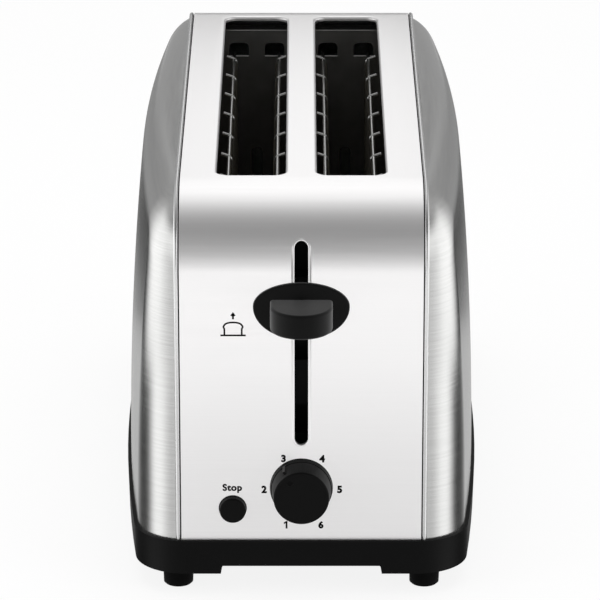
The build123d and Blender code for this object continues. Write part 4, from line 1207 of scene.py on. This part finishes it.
# %% Cards in front and behind
# Distance in front of the toaster in metres, and the brightness there.
FRONT_LEVELS = ((0.02, 0.8), (0.25, 0.8), (0.33, 1.08), (0.4, 1.8), (0.55, 1.3), (0.8, 0.6), (1.6, 0.3))
FRONT_SIDES = (-0.5, 0.5)
# Height in metres, and the brightness there.
REAR_LEVELS = ((0.19, 0.12), (0.262, 0.2))
REAR_SIDES = (-0.075, 0.075)
REAR_CARD_Y = REAR + 0.16
# Distance from the middle in metres, and the brightness there.
BACK_LEVELS = ((0.12, 0.9), (0.2, 0.42), (0.95, 0.38))
BACK_HEIGHTS = (0.02, 0.8)
BACK_CARD_Y = REAR + 0.75

front_lines = [[(x, FRONT - away, CARD_LIFT / 2) for away, _ in FRONT_LEVELS] for x in FRONT_SIDES]
card("front_card", front_lines, [level for _, level in FRONT_LEVELS] * 2)
rear_lines = [[(x, REAR_CARD_Y, height) for height, _ in REAR_LEVELS] for x in REAR_SIDES]
card("rear_card", rear_lines, [level for _, level in REAR_LEVELS] * 2)
for side, _ in SIDES:
    back_lines = [[(side * x, BACK_CARD_Y, height) for height in BACK_HEIGHTS] for x, _ in BACK_LEVELS]
    card(f"back_card_{side}", back_lines, [level for _, level in BACK_LEVELS for _ in BACK_HEIGHTS])
print("cards in front and behind made")

# %% [markdown]
# ## Room and lamps
#
# The room is light above and behind and darker in front, where a viewer stands. Walls could be modelled,
# but a world whose brightness follows the direction gives the same reflections. The camera sees plain
# white. Three soft lamps, which reflections leave out, light what is not metal and give the floor its
# shadow.

# %% Room
ROOM_FILL = 0.5
SIDE_FROM = 0.08
SIDE_TO = 0.24
SIDE_SHARE = 0.45
# Place on the sweep from the rear horizon (0) over the top to the front one (1), and the brightness there.
ROOM_LEVELS = (
    (0, 1.17),
    (0.22, 1.21),
    (0.38, 1.42),
    (0.49, 1.04),
    (0.567, 0.64),
    (0.64, 0.41),
    (0.744, 0.28),
    (0.844, 0.33),
    (1, 0.5),
)
world = bpy.data.worlds.new("studio_room")
scene.world = world
world.use_nodes = True
room = world.node_tree
room.nodes.clear()
toward = add_node(room, "ShaderNodeTexCoord").outputs["Generated"]
parts = add_node(room, "ShaderNodeSeparateXYZ", {0: toward}).outputs
over = add_node(room, "ShaderNodeMath", {0: parts["Z"], 1: parts["Y"]}, operation="ARCTAN2")
sweep = add_node(room, "ShaderNodeMapRange", {"Value": over, "From Max": pi})
ramp = add_node(room, "ShaderNodeValToRGB", {0: sweep})
stops = ramp.color_ramp.elements
stops.remove(stops[1])
for i, (place, level) in enumerate(ROOM_LEVELS):
    stop = stops[0] if i == 0 else stops.new(place)
    stop.position = place
    stop.color = (level, level, level, 1)
# To the left and the right the room is darker.
aside = add_node(room, "ShaderNodeMath", {0: parts["X"]}, operation="ABSOLUTE")
strength = add_node(
    room,
    "ShaderNodeMapRange",
    {"Value": aside, "From Min": SIDE_FROM, "From Max": SIDE_TO, "To Min": 1.0, "To Max": SIDE_SHARE},
    interpolation_type="SMOOTHSTEP",
)
rays = add_node(room, "ShaderNodeLightPath").outputs
reflected = add_node(room, "ShaderNodeBackground", {"Color": ramp, "Strength": strength})
fill = add_node(room, "ShaderNodeBackground", {"Color": linear("FFFFFF"), "Strength": ROOM_FILL})
white = add_node(room, "ShaderNodeBackground", {"Color": linear("FFFFFF"), "Strength": 1.0})
in_metal = add_node(room, "ShaderNodeMixShader", {0: rays["Is Glossy Ray"], 1: fill, 2: reflected})
seen = add_node(
    room,
    "ShaderNodeMath",
    {0: rays["Is Camera Ray"], 1: rays["Is Transmission Ray"]},
    operation="MAXIMUM",
)
to_camera = add_node(room, "ShaderNodeMixShader", {0: seen, 1: in_metal, 2: white})
add_node(room, "ShaderNodeOutputWorld", {"Surface": to_camera})
print("stops of the room's brightness:", len(stops))

# %% Lamps
# Name, place, point that it faces, width in metres and power in watts.
LAMPS = (
    ("top_lamp", (0, 0.1, 1.7), (0, 0, 0), 1.6, 11),
    ("left_lamp", (-1.5, -0.9, 0.9), (0, 0, 0.1), 1.0, 5),
    ("right_lamp", (1.5, -0.9, 0.9), (0, 0, 0.1), 1.0, 5),
)
for name, place, target, width, power in LAMPS:
    light = bpy.data.lights.new(name, "AREA")
    light.size = width
    light.energy = power
    lamp = link_object(name, light)
    lamp.location = place
    aim = Vector(target) - Vector(place)
    lamp.rotation_euler = aim.to_track_quat("-Z", "Y").to_euler()
    lamp.visible_glossy = False
print("lamps:", len(LAMPS))

# %% [markdown]
# ## Camera and end
#
# The camera stands well back with a long lens, a little above the toaster, and looks straight at its
# lever end.

# %% Camera
TILT_DOWN = 19.652
eye = bpy.data.cameras.new("studio_camera")
eye.lens = 249.99
eye.sensor_width = 36
eye.clip_end = 50
camera = link_object("studio_camera", eye)
camera.location = (-0.63 * MM, -2013.09 * MM, 809.73 * MM)
camera.rotation_euler = (radians(90 - TILT_DOWN), 0, 0)
scene.camera = camera
scene.view_settings.view_transform = "Standard"
